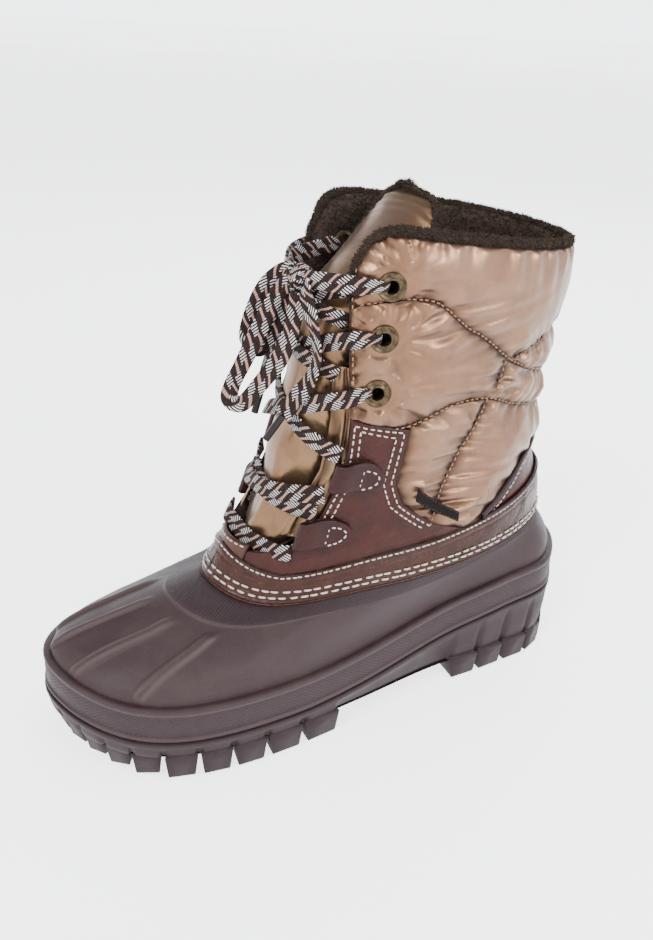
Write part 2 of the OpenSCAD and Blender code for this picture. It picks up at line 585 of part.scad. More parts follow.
BOW_FRONT = [[5, -24, 216], [1, -28, 212], [0, -33, 204], [0, -39, 193], [1, -46, 181], [1, -52, 170],
             [4, -54, 165], [8, -50, 164], [10, -43, 172], [11, -34, 183], [11, -29, 194], [10, -26, 204],
             [9, -24, 211]];
BOW_BACK = [[2, -23, 219], [-3, -26, 218], [-6, -31, 213], [-7, -36, 205], [-7, -40, 196], [-6, -41, 188],
            [-3, -37, 184], [-2, -33, 190], [-2, -29, 199], [0, -26, 207], [3, -24, 212]];
TAIL_FRONT = [[12, -22, 217], [15, -24, 213], [18, -23, 204], [20, -21, 193], [21, -21, 183], [19, -24, 173],
              [16, -29, 165], [14, -33, 158]];
TAIL_BACK = [[2, -22, 213], [-2, -24, 207], [-5, -25, 197], [-7, -27, 186], [-8, -30, 175], [-8, -33, 165]];
BOW_FACE = [0.75, -0.2, 0.55];
TAIL_FACE = [0.2, -0.9, -0.4];
module free_cord(route, face) {
    color(lace_colour) flat_cord(route, [for (p = route) face], per = 2);
}
module bow_loop_front() {
    free_cord(BOW_FRONT, BOW_FACE);
}
module bow_loop_back() {
    free_cord(BOW_BACK, BOW_FACE);
}
module tail_front() {
    free_cord(TAIL_FRONT, TAIL_FACE);
}
module tail_back() {
    free_cord(TAIL_BACK, TAIL_FACE);
}
// A lace tip: a short stiff cylinder past the end of a tail
module aglet(route) {
    last = route[len(route) - 1];
    t = unit(last - route[len(route) - 2]);
    color([0.16, 0.12, 0.12]) translate(last + t * 0.1) rotate([0, acos(t.z), atan2(t.y, t.x)])
        cylinder(d = 3.4, h = 14, $fn = 24);
}
module aglet_front() {
    aglet(TAIL_FRONT);
}
module aglet_back() {
    aglet(TAIL_BACK);
}

outsole();
foxing_band();
rubber_shell();
midsole();
shank();
insole_board();
footbed();
toe_puff();
heel_stiffener();
bootie_lining();
collar_band();
vamp();
quarter_outer();
quarter_inner();
heel_counter();
quilt_cuff_outer();
quilt_cuff_inner();
quilt_mid_outer();
quilt_mid_inner();
quilt_low_outer();
quilt_low_inner();
shaft_wadding();
shaft_lining();
collar_trim();
tongue_shell();
tongue_pad();
tongue_lining();
gusset_outer();
gusset_inner();
eyelets_outer();
eyelets_inner();
washers_outer();
washers_inner();
lace_loops_outer();
lace_loops_inner();
side_tag();
lace();
lace_knot();
bow_loop_front();
bow_loop_back();
tail_front();
tail_back();
aglet_front();
aglet_back();
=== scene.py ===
import bpy
import numpy as np
from mathutils import Matrix, Vector


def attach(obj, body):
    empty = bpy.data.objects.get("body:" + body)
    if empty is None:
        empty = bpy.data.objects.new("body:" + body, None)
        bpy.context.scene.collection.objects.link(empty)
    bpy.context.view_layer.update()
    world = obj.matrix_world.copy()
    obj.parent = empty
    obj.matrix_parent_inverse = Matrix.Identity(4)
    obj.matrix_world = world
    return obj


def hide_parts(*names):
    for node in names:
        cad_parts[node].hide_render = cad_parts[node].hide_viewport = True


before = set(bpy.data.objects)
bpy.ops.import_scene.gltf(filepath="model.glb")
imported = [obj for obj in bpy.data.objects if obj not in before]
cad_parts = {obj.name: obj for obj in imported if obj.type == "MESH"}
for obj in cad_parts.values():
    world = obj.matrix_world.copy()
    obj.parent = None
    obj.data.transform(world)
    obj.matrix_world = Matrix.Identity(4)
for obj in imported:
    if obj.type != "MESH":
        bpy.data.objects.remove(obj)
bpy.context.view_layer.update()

# An insulated winter boot for a left foot. Shapes are worked out in millimetres with the same
# tables and functions as the CAD source, then made in metres in the CAD frame.
MM = 0.001
TAU = 2 * np.pi

# ---------------------------------------------------------------- sizes of the visual only
COLOR_LEVEL = 0.48  # surface colours against what the screen should show: the studio is bright
DEGREE_MM, STATION_MM = 0.72, 29.5  # about what a degree and a station measure on the upper
BAND_MM = 26.0  # what a station measures at the collar band
SHELL_INSET = 4.2  # of the rubber shell's foot, from the sole's outline
RING = 480  # steps round the sole
BACK = 179.9  # degrees, where the quilts meet
PANEL_GAP = 0.001  # stations either side of a seam between quilts
TAG_LIFT = 5.7  # of the side tag, off the upper's base surface
GROOVE_DEPTH = 2.3  # of the flutes between the lugs
FLOOR_REACH = 14.0  # metres
TRIM_END = 4.75  # the station where the collar's fleece stops on the front edges

# ---------------------------------------------------------------- tables, as in the CAD source
GROOVE_HEIGHT, FOXING_HEIGHT, HEEL_LIFT, TOE_SPRING, LUG_DEPTH = 21, 17, 19, 12, 11
RUBBER_WALL, LEATHER, QUILT_PUFF, LINING_DEPTH = 2.4, 1.6, 3.4, -7.25
LACE_WIDTH, LACE_THICK = 8.0, 1.5
EYELET_D, EYELET_HOLE, EYELET_REST = 12.5, 5.6, 3.2
AROUND = 72
OUTLINE = [[-3, -144.5], [22, -136], [41, -116], [51, -84], [53, -48], [49, -4], [43, 45], [42, 85],
           [36, 121], [2, 144.5], [-31, 123], [-39, 88], [-39, 45], [-41, 0], [-49, -45], [-53, -82],
           [-46, -115], [-27, -136]]
# front z, back z, front y, back y, half width, middle x, squareness, dip
STATIONS = [[74, 82, -65, 124, 45, 1.5, 2.0, 5],
            [97, 101, -53, 122, 42.5, 1.5, 2.05, 4],
            [122, 122, -40, 115, 40, 1, 2.15, 0],
            [152, 148, -28, 112, 39.5, 1, 2.3, 0],
            [185, 177, -21, 113, 40, 0, 2.4, 0],
            [218, 205, -19, 116, 41.5, 0, 2.4, 0],
            [247, 229, -17, 118.5, 43, -0.5, 2.4, 0]]
# angle from the front to station
BAND_TOP = [[0, 0.8], [38, 0.68], [90, 0.84], [115, 1.0], [150, 1.3], [180, 1.42]]
SEAM_HIGH = [[30, 4.68], [60, 4.95], [75, 4.95], [90, 4.45], [105, 4.0], [122, 3.75], [150, 3.58],
             [180, 3.5]]
SEAM_LOW = [[40, 2.98], [73, 3.1], [90, 3.42], [100, 3.42], [115, 3.22], [140, 3.02], [180, 2.95]]
COUNTER_TOP = [[108, 1.02], [123, 1.6], [134, 1.97], [146, 2.15], [170, 2.28], [180, 2.3]]
QUARTER_TOP = [[40, 3.24], [73, 3.08], [90, 2.9]]
# station to angle from the front
FRONT_OUTER = [[0.9, 17], [1.05, 32], [1.25, 40], [1.7, 45], [2.4, 49], [3.2, 45.5], [4, 39], [5, 34],
               [6, 37]]
FRONT_INNER = [[0.9, 14], [1.1, 22], [1.35, 32], [1.7, 40], [2.4, 46], [3.2, 46], [4, 44], [5, 50],
               [6, 58]]
SIDES = (1, "outer", FRONT_OUTER), (-1, "inner", FRONT_INNER)
# degrees past the front edge to station
CUFF_TOP = [[0, 5.2], [3, 5.45], [8, 5.66], [15, 5.8], [22, 5.86]]
# station to angle
QUARTER_BACK = [[0.9, 100], [1.2, 89], [1.75, 77], [2.2, 72.5], [3.2, 73]]
# [station, angle] by side
EYELETS = {1: [[5.12, 54], [4.38, 54], [3.62, 55]], -1: [[5.12, 68], [4.38, 62], [3.62, 58]]}
LOOPS = [[2.38, 48], [1.42, 41]]
# seams inside the panels, as [angle, station]
SEAM_BACK = [[180, 4.5], [150, 4.38], [128, 4.2], [110, 4.0]]
SEAM_SHORT = [[105, 4.0], [104, 3.7], [103, 3.42]]
SEAM_SIDE = [[100, 3.42], [97, 3.0], [93, 2.6], [90, 2.0], [87, 1.0]]


# ---------------------------------------------------------------- shape functions
def unit(v):
    return v / np.maximum(np.linalg.norm(v, axis=-1, keepdims=True), 1e-9)


def mix(a, b, t):
    return a + (b - a) * t


def smooth(x):
    t = np.clip(x, 0, 1)
    return t * t * (3 - 2 * t)


def power(x, p):
    return np.sign(x) * np.abs(x) ** p


def edge(points, x):
    p = np.asarray(points, float)
    return np.interp(x, p[:, 0], p[:, 1])


def soften(table, reach):
    """The same edge with its corners rounded over reach degrees either side."""
    p = np.asarray(table, float)
    x = np.arange(p[0, 0] - 2 * reach, p[-1, 0] + 2 * reach + 0.5, 0.5)
    kernel = np.hanning(int(4 * reach) + 1)
    y = np.convolve(np.interp(x, p[:, 0], p[:, 1]), kernel / kernel.sum(), "same")
    keep = (x >= p[0, 0]) & (x <= p[-1, 0])
    return np.stack([x[keep], y[keep]], -1)


def cubic(a, b, c, d, t):
    return 0.5 * (2 * b + (c - a) * t + (2 * a - 5 * b + 4 * c - d) * t ** 2
                  + (3 * b - a - 3 * c + d) * t ** 3)


def bezier(a, b, c, d, t):
    r = 1 - t
    return r ** 3 * a + 3 * r * r * t * b + 3 * r * t * t * c + t ** 3 * d


def along(table, x, closed=False):
    v = np.asarray(table, float)
    x = np.asarray(x, float)
    n = len(v)
    i = np.floor(x).astype(int)
    i = i if closed else np.clip(i, 0, n - 2)
    pick = (lambda k: v[(i + k) % n]) if closed else (lambda k: v[np.clip(i + k, 0, n - 1)])
    return cubic(pick(-1), pick(0), pick(1), pick(2), (x - i)[..., None])


SEAM_HIGH, SEAM_LOW = soften(SEAM_HIGH, 9), soften(SEAM_LOW, 8)


def rise(y):
    return TOE_SPRING * np.maximum(0, (-y - 85) / 60) ** 2


def groove_z(y):
    return GROOVE_HEIGHT + rise(y) + HEEL_LIFT * smooth((y + 40) / 160)


def foxing_z(y):
    return groove_z(y) + FOXING_HEIGHT


def sole_bottom(y):
    return rise(y) + 2.5 * np.maximum(0, (y - 122) / 23) ** 2


def sole_in(t, d):
    t = np.asarray(t, float)
    v = unit(along(OUTLINE, t + 0.05, True) - along(OUTLINE, t - 0.05, True))
    d = np.asarray(d, float)[..., None] if np.ndim(d) else d
    return along(OUTLINE, t, True) + d * np.stack([-v[..., 1], v[..., 0]], -1)


def turns(k):
    """Steps round the upper as steps round the sole's outline."""
    return k * len(OUTLINE) / AROUND


def sole_ring(t, inset, height, level=groove_z):
    """Points on the sole's outline, moved in, at a height above one of its levels."""
    p = sole_in(t, inset)
    return np.concatenate([p, level(p[..., 1:2]) + height], -1)


def upper_point(s, angle):
    s, angle = np.broadcast_arrays(np.asarray(s, float), np.asarray(angle, float))
    a = np.where(angle > 180, angle - 360, angle)
    zf, zb, yf, yb, half, xc, n, dip = np.moveaxis(along(STATIONS, s), -1, 0)
    c = power(np.cos(np.radians(a)), 2 / n)
    w = power(np.sin(np.radians(a)), 2 / n)
    top = smooth((s - 4) / 2)
    flare = 5 * top * np.exp(-((a + 58) / 34) ** 2)
    low = np.where(np.abs(a) < 75, dip * np.sin(np.radians(2.4 * a)) ** 2, 0)
    return np.stack([xc + half * w - flare, (yf + yb) / 2 - (yb - yf) / 2 * c,
                     mix(zf, zb, (1 - c) / 2) - low - 2.5 * top * w], -1)


def upper_out(s, a):
    s, a = np.broadcast_arrays(np.asarray(s, float), np.asarray(a, float))
    return unit(np.cross(upper_point(s, a + 2) - upper_point(s, a - 2),
                         upper_point(s + 0.06, a) - upper_point(s - 0.06, a)))


def upper_at(s, a, d):
    return upper_point(s, a) + np.asarray(d, float)[..., None] * upper_out(s, a)


def shell_base(k, s):
    foot = sole_ring(turns(k), SHELL_INSET, 0, foxing_z)
    rim = upper_at(0, k * 360 / AROUND, 0.2)
    tall = rim[..., 2] - foot[..., 2]
    low = foot + np.stack([0 * tall, 0 * tall, 0.38 * tall], -1)
    high = np.stack([mix(rim[..., 0], foot[..., 0], 0.38), mix(rim[..., 1], foot[..., 1], 0.38),
                     rim[..., 2] - 0.3 * tall], -1)
    return bezier(foot, low, high, rim, np.asarray(s, float)[..., None])


def shell_out(k, s):
    return unit(np.cross(shell_base(k + 0.5, s) - shell_base(k - 0.5, s),
                         shell_base(k, np.minimum(1, s + 0.03)) - shell_base(k, np.maximum(0, s - 0.03))))


def shell_at(k, s, d):
    return shell_base(k, s) + np.asarray(d, float)[..., None] * shell_out(k, s)


TONGUE_BEND = 0.62


def tongue_low(s, u):
    half = np.where(s < 3.2, np.minimum(44, edge(FRONT_OUTER, s) - 1), 44)
    depth = mix(-7.6, -2.6, smooth((s - 1.7) / 1)) - 7.2 * u * u * smooth((s - 1.3) / 1)
    return upper_at(s, u * half, depth)


def tongue_base(v, u):
    v, u = np.broadcast_arrays(np.asarray(v, float), np.asarray(u, float))
    low = tongue_low(mix(0.84, 4.2, np.clip(v / TONGUE_BEND, 0, 1)), u)
    t = np.clip((v - TONGUE_BEND) / (1 - TONGUE_BEND), 0, 1)[..., None]
    a = tongue_low(np.full_like(v, 4.2), u)
    tip = np.stack([25.5 * u, 44 + 2 * u - 2 * np.cos(np.pi / 2 * u), 248 - 3.5 * u], -1)
    up = a + (a - tongue_low(np.full_like(v, 3.9), u)) * 2.2
    back = tip - np.array([0, 13, 16])
    return np.where((v < TONGUE_BEND)[..., None], low, bezier(a, up, back, tip, t))


def tongue_out(v, u):
    return unit(np.cross(tongue_base(v, u + 0.04) - tongue_base(v, u - 0.04),
                         tongue_base(np.minimum(1, v + 0.02), u) - tongue_base(v - 0.02, u)))


def tongue_at(v, u, d):
    return tongue_base(v, u) + np.asarray(d, float)[..., None] * tongue_out(v, u)


def noise(x, y, seed):
    """Smooth value noise from -1 to 1, the same on every run."""
    table = np.random.default_rng(seed).uniform(-1, 1, (64, 64))
    i, j = np.floor(x).astype(int), np.floor(y).astype(int)
    fx, fy = smooth(x - i), smooth(y - j)
    at = lambda di, dj: table[(i + di) % 64, (j + dj) % 64]
    return mix(mix(at(0, 0), at(1, 0), fx), mix(at(0, 1), at(1, 1), fx), fy)


def noises(x, y, seed):
    return noise(x, y, seed) + 0.5 * noise(2 * x, 2 * y, seed + 1) + 0.25 * noise(4 * x, 4 * y, seed + 2)


# ---------------------------------------------------------------- meshes
def make(name, points, faces, look, nodes=(), body="boot", uv=None, tone=None):
    """A mesh piece from points in millimetres; tone is a 0 to 1 value that its look may read."""
    mesh = bpy.data.meshes.new(name)
    mesh.from_pydata((np.asarray(points).reshape(-1, 3) * MM).tolist(), [], faces)
    corner = np.empty(len(mesh.loops), int)
    mesh.loops.foreach_get("vertex_index", corner)
    if uv is not None:
        layer = mesh.uv_layers.new(name="flat")
        layer.data.foreach_set("uv", np.asarray(uv, float).reshape(-1, 2)[corner].ravel())
    value = np.zeros(len(mesh.vertices)) if tone is None else np.asarray(tone, float).ravel()
    mesh.attributes.new("tone", "FLOAT", "POINT").data.foreach_set("value", value)
    mesh.polygons.foreach_set("use_smooth", [True] * len(mesh.polygons))
    mesh.materials.append(look)
    piece = bpy.data.objects.new(name, mesh)
    bpy.context.scene.collection.objects.link(piece)
    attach(piece, body)
    if nodes:
        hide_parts(*nodes)
    return piece


def quads(rows, cols, at=0, closed=False, flip=False):
    span = cols if closed else cols - 1
    i, j = np.meshgrid(np.arange(rows - 1), np.arange(span), indexing="ij")
    a, b = at + i * cols + j, at + i * cols + (j + 1) % cols
    corners = [a, a + cols, b + cols, b] if flip else [a, b, b + cols, a + cols]
    return np.stack(corners, -1).reshape(-1, 4).tolist()


def lengths(points, axis):
    step = np.linalg.norm(np.diff(points, axis=axis), axis=-1)
    total = np.cumsum(step, axis)
    start = np.zeros_like(np.take(total, [0], axis))
    return np.concatenate([start, total], axis)


def ring_uv(points):
    return np.stack([lengths(points, 1), lengths(points, 0)], -1)


def make_rings(name, grid, look, nodes=(), tone=None):
    """A mesh from rings of points; the last column repeats the first."""
    return make(name, grid, quads(*grid.shape[:2]), look, nodes, uv=ring_uv(grid), tone=tone)


def margins(points):
    """Distance in millimetres from each grid point to the nearest edge of the grid, and its place."""
    x, y = lengths(points, 1), lengths(points, 0)
    return np.minimum.reduce([x, x[:, -1:] - x, y, y[-1:, :] - y]), x, y


def bordered(count, fine=0.012):
    near = fine * np.array([0, 0.12, 0.35, 0.65, 1])
    return np.unique(np.concatenate([near, np.linspace(fine, 1 - fine, count), 1 - near]))


def slab(name, outer, inner, look, nodes=(), body="boot", tone=None):
    """A closed panel between an outer and an inner grid of points."""
    rows, cols = outer.shape[:2]
    n = rows * cols
    _, x, y = margins(outer)
    grid = np.arange(n).reshape(rows, cols)
    rim = np.concatenate([grid[0, :-1], grid[:-1, -1], grid[-1, :0:-1], grid[:0:-1, 0]])
    ahead = np.roll(rim, -1)
    faces = quads(rows, cols) + quads(rows, cols, n, flip=True)
    faces += np.stack([ahead, rim, rim + n, ahead + n], -1).tolist()
    uv = np.stack([x, y], -1).reshape(-1, 2)
    tone = np.zeros((rows, cols)) if tone is None else tone
    return make(name, np.concatenate([outer.reshape(-1, 3), inner.reshape(-1, 3)]), faces, look, nodes,
                body, np.concatenate([uv, uv]), np.concatenate([tone.ravel(), tone.ravel()]))


def round_edge(margin, radius):
    return np.sqrt(np.clip(1 - (1 - np.clip(margin / radius, 0, 1)) ** 2, 0, 1))


def join(parts):
    """Joins (points, faces, uv, tone) parts into one."""
    points, faces, uvs, tones, at = [], [], [], [], 0
    for p, f, uv, tone in parts:
        points.append(p)
        faces += (np.asarray(f) + at).tolist() if len({len(x) for x in f}) == 1 else \
            [[i + at for i in x] for x in f]
        uvs.append(uv)
        tones.append(tone)
        at += len(p)
    return np.concatenate(points), faces, np.concatenate(uvs), np.concatenate(tones)


def make_parts(name, parts, look, nodes=()):
    points, faces, uv, tone = join(parts)
    return make(name, points, faces, look, nodes, uv=uv, tone=tone)


def sweep(path, side, half_w, half_t, sides, ring_power):
    """A flat or round cord: cross-sections with the wide way along side, rounded at both edges.
    Its coordinates are the share across it and the millimetres along it."""
    path, n = np.asarray(path, float), len(path)
    half_w, half_t = np.broadcast_to(half_w, n), np.broadcast_to(half_t, n)
    tangent = unit(np.gradient(path, axis=0))
    wide = unit(side - tangent * np.sum(side * tangent, -1, keepdims=True))
    thin = np.cross(wide, tangent)
    q = TAU * (np.arange(sides) + 0.5) / sides
    c, s = power(np.cos(q), ring_power), power(np.sin(q), ring_power)
    ring = (path[:, None] + wide[:, None] * (half_w[:, None] * c)[..., None]
            + thin[:, None] * (half_t[:, None] * s)[..., None])
    uv = np.stack([np.broadcast_to(x, ring.shape[:2]) for x in (c / 2 + 0.5, lengths(path, 0)[:, None])], -1)
    ends = [list(range(sides))[::-1], list(range((n - 1) * sides, n * sides))]
    return ring.reshape(-1, 3), quads(n, sides, closed=True) + ends, uv.reshape(-1, 2), np.zeros(n * sides)


def srgb(r, g, b, level=COLOR_LEVEL):
    """A screen colour as a surface colour, dimmed to suit the bright studio."""
    c = np.array([r, g, b]) / 255
    linear = np.where(c <= 0.04045, c / 12.92, ((c + 0.055) / 1.055) ** 2.4)
    return (*(linear * level).tolist(), 1.0)


class Look:
    """A procedural material: short calls that add and link nodes."""

    def __init__(self, name, roughness=0.6, **sockets):
        self.mat = bpy.data.materials.new(name)
        self.mat.use_nodes = True
        self.tree = self.mat.node_tree
        self.shader = self.tree.nodes["Principled BSDF"]
        self.shader.inputs["Roughness"].default_value = roughness
        for key, value in sockets.items():
            self.shader.inputs[key.replace("_", " ")].default_value = value
        self.place = self.tree.nodes.new("ShaderNodeTexCoord").outputs["Object"]
        self.normal = None

    def put(self, socket, value):
        if isinstance(value, bpy.types.NodeSocket):
            self.tree.links.new(value, socket)
        else:
            socket.default_value = value

    def node(self, kind, inputs=(), output=0, **settings):
        n = self.tree.nodes.new("ShaderNode" + kind)
        for key, value in settings.items():
            setattr(n, key, value)
        for key, value in dict(inputs).items():
            self.put(n.inputs[key], value)
        return n.outputs[output]

    def calc(self, op, a, b=0.0, c=0.0):
        return self.node("Math", {0: a, 1: b, 2: c}, operation=op)

    def times(self, a, b):
        return self.calc("MULTIPLY", a, b)

    def scaled(self, value, gain, offset):
        return self.calc("MULTIPLY_ADD", value, gain, offset)

    def inverse(self, value):
        return self.calc("SUBTRACT", 1.0, value)

    def blend(self, factor, a, b):
        """A mix of two colours; a colour may be three screen values."""
        a, b = (srgb(*c) if isinstance(c, tuple) and len(c) == 3 else c for c in (a, b))
        return self.node("Mix", {0: factor, 6: a, 7: b}, 2, data_type="RGBA")

    def noise(self, size, detail=3.0, rough=0.55, warp=0.0):
        """Noise whose features are about size millimetres across."""
        return self.node("TexNoise", {"Vector": self.place, "Scale": 1 / (size * MM), "Detail": detail,
                                      "Roughness": rough, "Distortion": warp})

    def cells(self, size):
        return self.node("TexVoronoi", {"Vector": self.place, "Scale": 1 / (size * MM)})

    def span(self, value, low, high):
        return self.node("MapRange", {0: value, 1: low, 2: high}, interpolation_type="SMOOTHSTEP")

    def tone(self):
        return self.node("Attribute", output=2, attribute_name="tone", attribute_type="GEOMETRY")

    def flat(self):
        """The surface's own coordinates in millimetres, as separate values."""
        uv = self.node("UVMap", uv_map="flat")
        n = self.tree.nodes.new("ShaderNodeSeparateXYZ")
        self.put(n.inputs[0], uv)
        return n.outputs[0], n.outputs[1]

    def wave(self, value, period, phase=0.0):
        """A sine from 0 to 1 of a value in millimetres."""
        turns = self.scaled(value, TAU / period, phase)
        return self.scaled(self.calc("SINE", turns), 0.5, 0.5)

    def bump(self, height, depth, strength=1.0):
        """Adds a relief of depth millimetres."""
        n = self.tree.nodes.new("ShaderNodeBump")
        n.inputs["Strength"].default_value = strength
        n.inputs["Distance"].default_value = depth * MM
        self.put(n.inputs["Height"], height)
        if self.normal is not None:
            self.put(n.inputs["Normal"], self.normal)
        self.normal = n.outputs[0]
        self.put(self.shader.inputs["Normal"], self.normal)

    def color(self, value):
        self.put(self.shader.inputs["Base Color"], value)

    def rough(self, value):
        self.put(self.shader.inputs["Roughness"], value)


def rubber_look(name, base, light, roughness, pattern=None):
    look = Look(name, roughness, Specular_IOR_Level=0.14)
    wear = look.span(look.noise(14, 4), 0.35, 0.75)
    specks = look.span(look.noise(1.1, 3), 0.35, 0.7)
    fresh = look.blend(look.times(wear, 0.35), base, light)
    # where the tone attribute is high the colour is lifted above the light rubber colour: a painted highlight
    # on crests and edges
    look.color(look.blend(look.tone(), look.blend(look.times(specks, 0.22), fresh, light),
                          tuple(min(255, 1.12 * c) for c in light)))
    look.rough(look.scaled(wear, 0.12, roughness - 0.05))
    look.bump(look.noise(5, 3), 0.12, 0.5)
    look.bump(look.noise(0.7, 2), 0.06, 0.6)
    if pattern:
        u, v = look.flat()
        if pattern == "diamond":
            one = look.wave(look.calc("ADD", u, look.times(v, 1.4)), 2.3)
            two = look.wave(look.calc("SUBTRACT", u, look.times(v, 1.4)), 2.3)
            knurl = look.times(one, two)
        else:
            knurl = look.wave(look.scaled(v, 0.5, u), 1.5)
        look.bump(knurl, 0.3, 0.75)
    return look.mat


def leather_look(name, base, dark, roughness=0.42):
    look = Look(name, roughness, Specular_IOR_Level=0.14)
    patches = look.span(look.noise(9, 5, 0.6), 0.3, 0.72)
    pores = look.span(look.cells(1.3), 0.0, 0.75)
    body = look.blend(look.times(patches, 0.5), base, dark)
    body = look.blend(look.times(look.inverse(pores), 0.22), body, dark)
    look.color(look.blend(look.tone(), body, dark))
    look.rough(look.scaled(patches, 0.16, roughness - 0.08))
    look.bump(look.noise(7, 4), 0.25, 0.5)
    look.bump(pores, 0.13, 0.8)
    look.bump(look.noise(0.5, 2), 0.05, 0.5)
    return look.mat


def nylon_look(name, base, fold, gleam, roughness=0.36):
    """Thin metallic cloth: a soft painted gleam that drifts, fine creases darkened with painted shade,
    painted shade where the tone attribute is high, and a plain weave.
    """
    look = Look(name, roughness, Metallic=0.86, Specular_IOR_Level=0.5, Sheen_Weight=0.05)
    # painted highlight: broad patches lifted towards the gleam colour
    drift = look.span(look.noise(46, 2), 0.3, 0.7)
    creases = look.span(look.noise(9, 4, 0.55, 0.8), 0.4, 0.78)
    body = look.blend(look.times(drift, 0.5), base, gleam)
    # painted shade in the creases; the same mask also varies the roughness
    body = look.blend(look.times(creases, 0.22), body, fold)
    # the tone attribute carries painted shade towards the fold colour
    look.color(look.blend(look.tone(), body, fold))
    look.rough(look.scaled(creases, 0.1, roughness - 0.04))
    look.bump(look.noise(16, 3, 0.45, 1.0), 0.35, 0.3)
    look.bump(look.noise(4.5, 3, 0.5, 0.6), 0.07, 0.4)
    u, v = look.flat()
    look.bump(look.times(look.wave(u, 0.55), look.wave(v, 0.55)), 0.03, 0.5)
    return look.mat


def fleece_look(name, root, middle, tip):
    look = Look(name, 0.92, Sheen_Weight=0.12, Sheen_Roughness=0.5, Specular_IOR_Level=0.25,
                Sheen_Tint=(0.45, 0.36, 0.24, 1))
    clumps = look.span(look.noise(3.0, 4, 0.6), 0.35, 0.68)
    height = look.calc("ADD", look.times(look.tone(), 0.75), look.times(clumps, 0.25))
    # the pile runs from the root colour to the tip colour: the dark root colour is painted shade among the
    # fibres, the pale tip colour is the pile's own
    low = look.blend(look.span(height, 0.0, 0.55), root, middle)
    look.color(look.blend(look.span(height, 0.6, 1.0), low, tip))
    look.bump(look.noise(1.6, 4, 0.7), 0.7, 0.8)
    return look.mat


def thread_look(name, base, shade):
    look = Look(name, 0.8, Specular_IOR_Level=0.2)
    u, v = look.flat()
    ply = look.wave(look.scaled(u, 0.9, v), 0.7)
    look.color(look.blend(look.times(ply, 0.45), base, shade))
    look.bump(ply, 0.12, 0.8)
    return look.mat


def lace_look(name):
    """Flat woven lace: dark ground, with slanting bundles of fine white dashes and pale pink patches."""
    look = Look(name, 0.85, Specular_IOR_Level=0.15)
    u, v = look.flat()
    lane = look.calc("GREATER_THAN", u, 0.5)
    shift = look.scaled(lane, 0.5, look.scaled(look.noise(9, 1), 0.3, -0.15))
    slant = look.calc("ADD", look.calc("DIVIDE", v, 12.5), look.times(u, 0.62))
    bundle = look.calc("FRACT", look.calc("ADD", shift, slant))
    line = look.calc("FRACT", look.scaled(u, 6.0, look.times(v, -0.42)))
    dash = look.times(look.span(line, 0.0, 0.14),
                     look.inverse(look.span(line, 0.4, 0.52)))
    worn = look.span(look.noise(0.9, 2), 0.24, 0.42)

    def patch(low, high):
        return look.times(look.span(bundle, low, low + 0.04),
                         look.inverse(look.span(bundle, high - 0.04, high)))

    white = look.times(look.times(patch(0.06, 0.45), dash), worn)
    pink = look.times(patch(0.6, 0.76), look.scaled(dash, 0.45, 0.5))
    ground = look.blend(look.span(look.noise(0.8, 2), 0.35, 0.7), (26, 15, 14), (48, 31, 29))
    look.color(look.blend(white, look.blend(pink, ground, (216, 170, 150)), (246, 240, 236)))
    herring = look.wave(look.calc("ADD", v, look.times(look.calc("PINGPONG", u, 0.25), 8.0)), 1.1)
    look.bump(herring, 0.2, 0.8)
    look.bump(white, 0.12, 0.8)
    return look.mat


def brass_look(name):
    look = Look(name, 0.4, Metallic=0.85)
    worn = look.span(look.noise(2.6, 4, 0.6), 0.35, 0.7)
    look.color(look.blend(worn, (104, 86, 60), (56, 45, 32)))
    look.rough(look.scaled(worn, 0.2, 0.3))
    look.bump(look.noise(0.8, 3), 0.05, 0.7)
    return look.mat


def plain_look(name, base, dark, roughness=0.7, grain=1.5, depth=0.1, metal=0.0):
    look = Look(name, roughness, Metallic=metal, Specular_IOR_Level=0.15)
    look.color(look.blend(look.span(look.noise(grain, 4), 0.3, 0.7), base, dark))
    look.bump(look.noise(grain * 0.5, 3), depth, 0.7)
    return look.mat


def woven_look(name, base, dark):
    look = Look(name, 0.85, Specular_IOR_Level=0.12)
    u, v = look.flat()
    weave = look.times(look.wave(u, 0.8), look.wave(v, 0.8))
    look.color(look.blend(weave, base, dark))
    look.bump(weave, 0.15, 0.9)
    return look.mat


SHELL = rubber_look("rubber_shell", (56, 41, 44), (76, 62, 60), 0.54)
KNURLED = rubber_look("rubber_knurled", (52, 38, 42), (70, 56, 57), 0.58, "diamond")
RIBBED = rubber_look("rubber_ribbed", (49, 35, 39), (66, 52, 54), 0.58, "rib")
SOLE = rubber_look("rubber_sole", (46, 32, 35), (62, 48, 50), 0.6)
HIDE = leather_look("leather_red_brown", (68, 26, 18), (30, 12, 10), 0.36)
BAND_HIDE = leather_look("leather_band", (68, 35, 24), (32, 17, 13), 0.34)
# a lighter, greyer copy of the red-brown leather: painted sheen on the vamp
VAMP_SHEEN_HIDE = leather_look("leather_vamp", (96, 60, 48), (54, 32, 28), 0.36)
LOOP_HIDE = leather_look("leather_loops", (58, 22, 17), (30, 12, 11), 0.38)
PIPING = leather_look("leather_piping", (50, 28, 30), (34, 20, 22), 0.45)
RAW_EDGE = plain_look("leather_raw_edge", (150, 104, 86), (98, 62, 50), 0.85, 1.2, 0.12)
NYLON = nylon_look("nylon_copper", (150, 109, 83), (50, 29, 18), (176, 141, 113))
PLEAT_NYLON = nylon_look("nylon_pleated", (142, 104, 76), (46, 27, 16), (174, 148, 106), 0.32)
FLEECE = fleece_look("fleece_dark", (24, 14, 9), (58, 41, 30), (112, 100, 66))
WHITE_THREAD = thread_look("thread_white", (238, 226, 212), (176, 158, 142))
TAN_THREAD = thread_look("thread_tan", (188, 142, 106), (112, 74, 50))
DARK_THREAD = thread_look("thread_dark", (70, 46, 34), (40, 26, 20))
LACE = lace_look("lace_woven")
BRASS = brass_look("brass_antique")
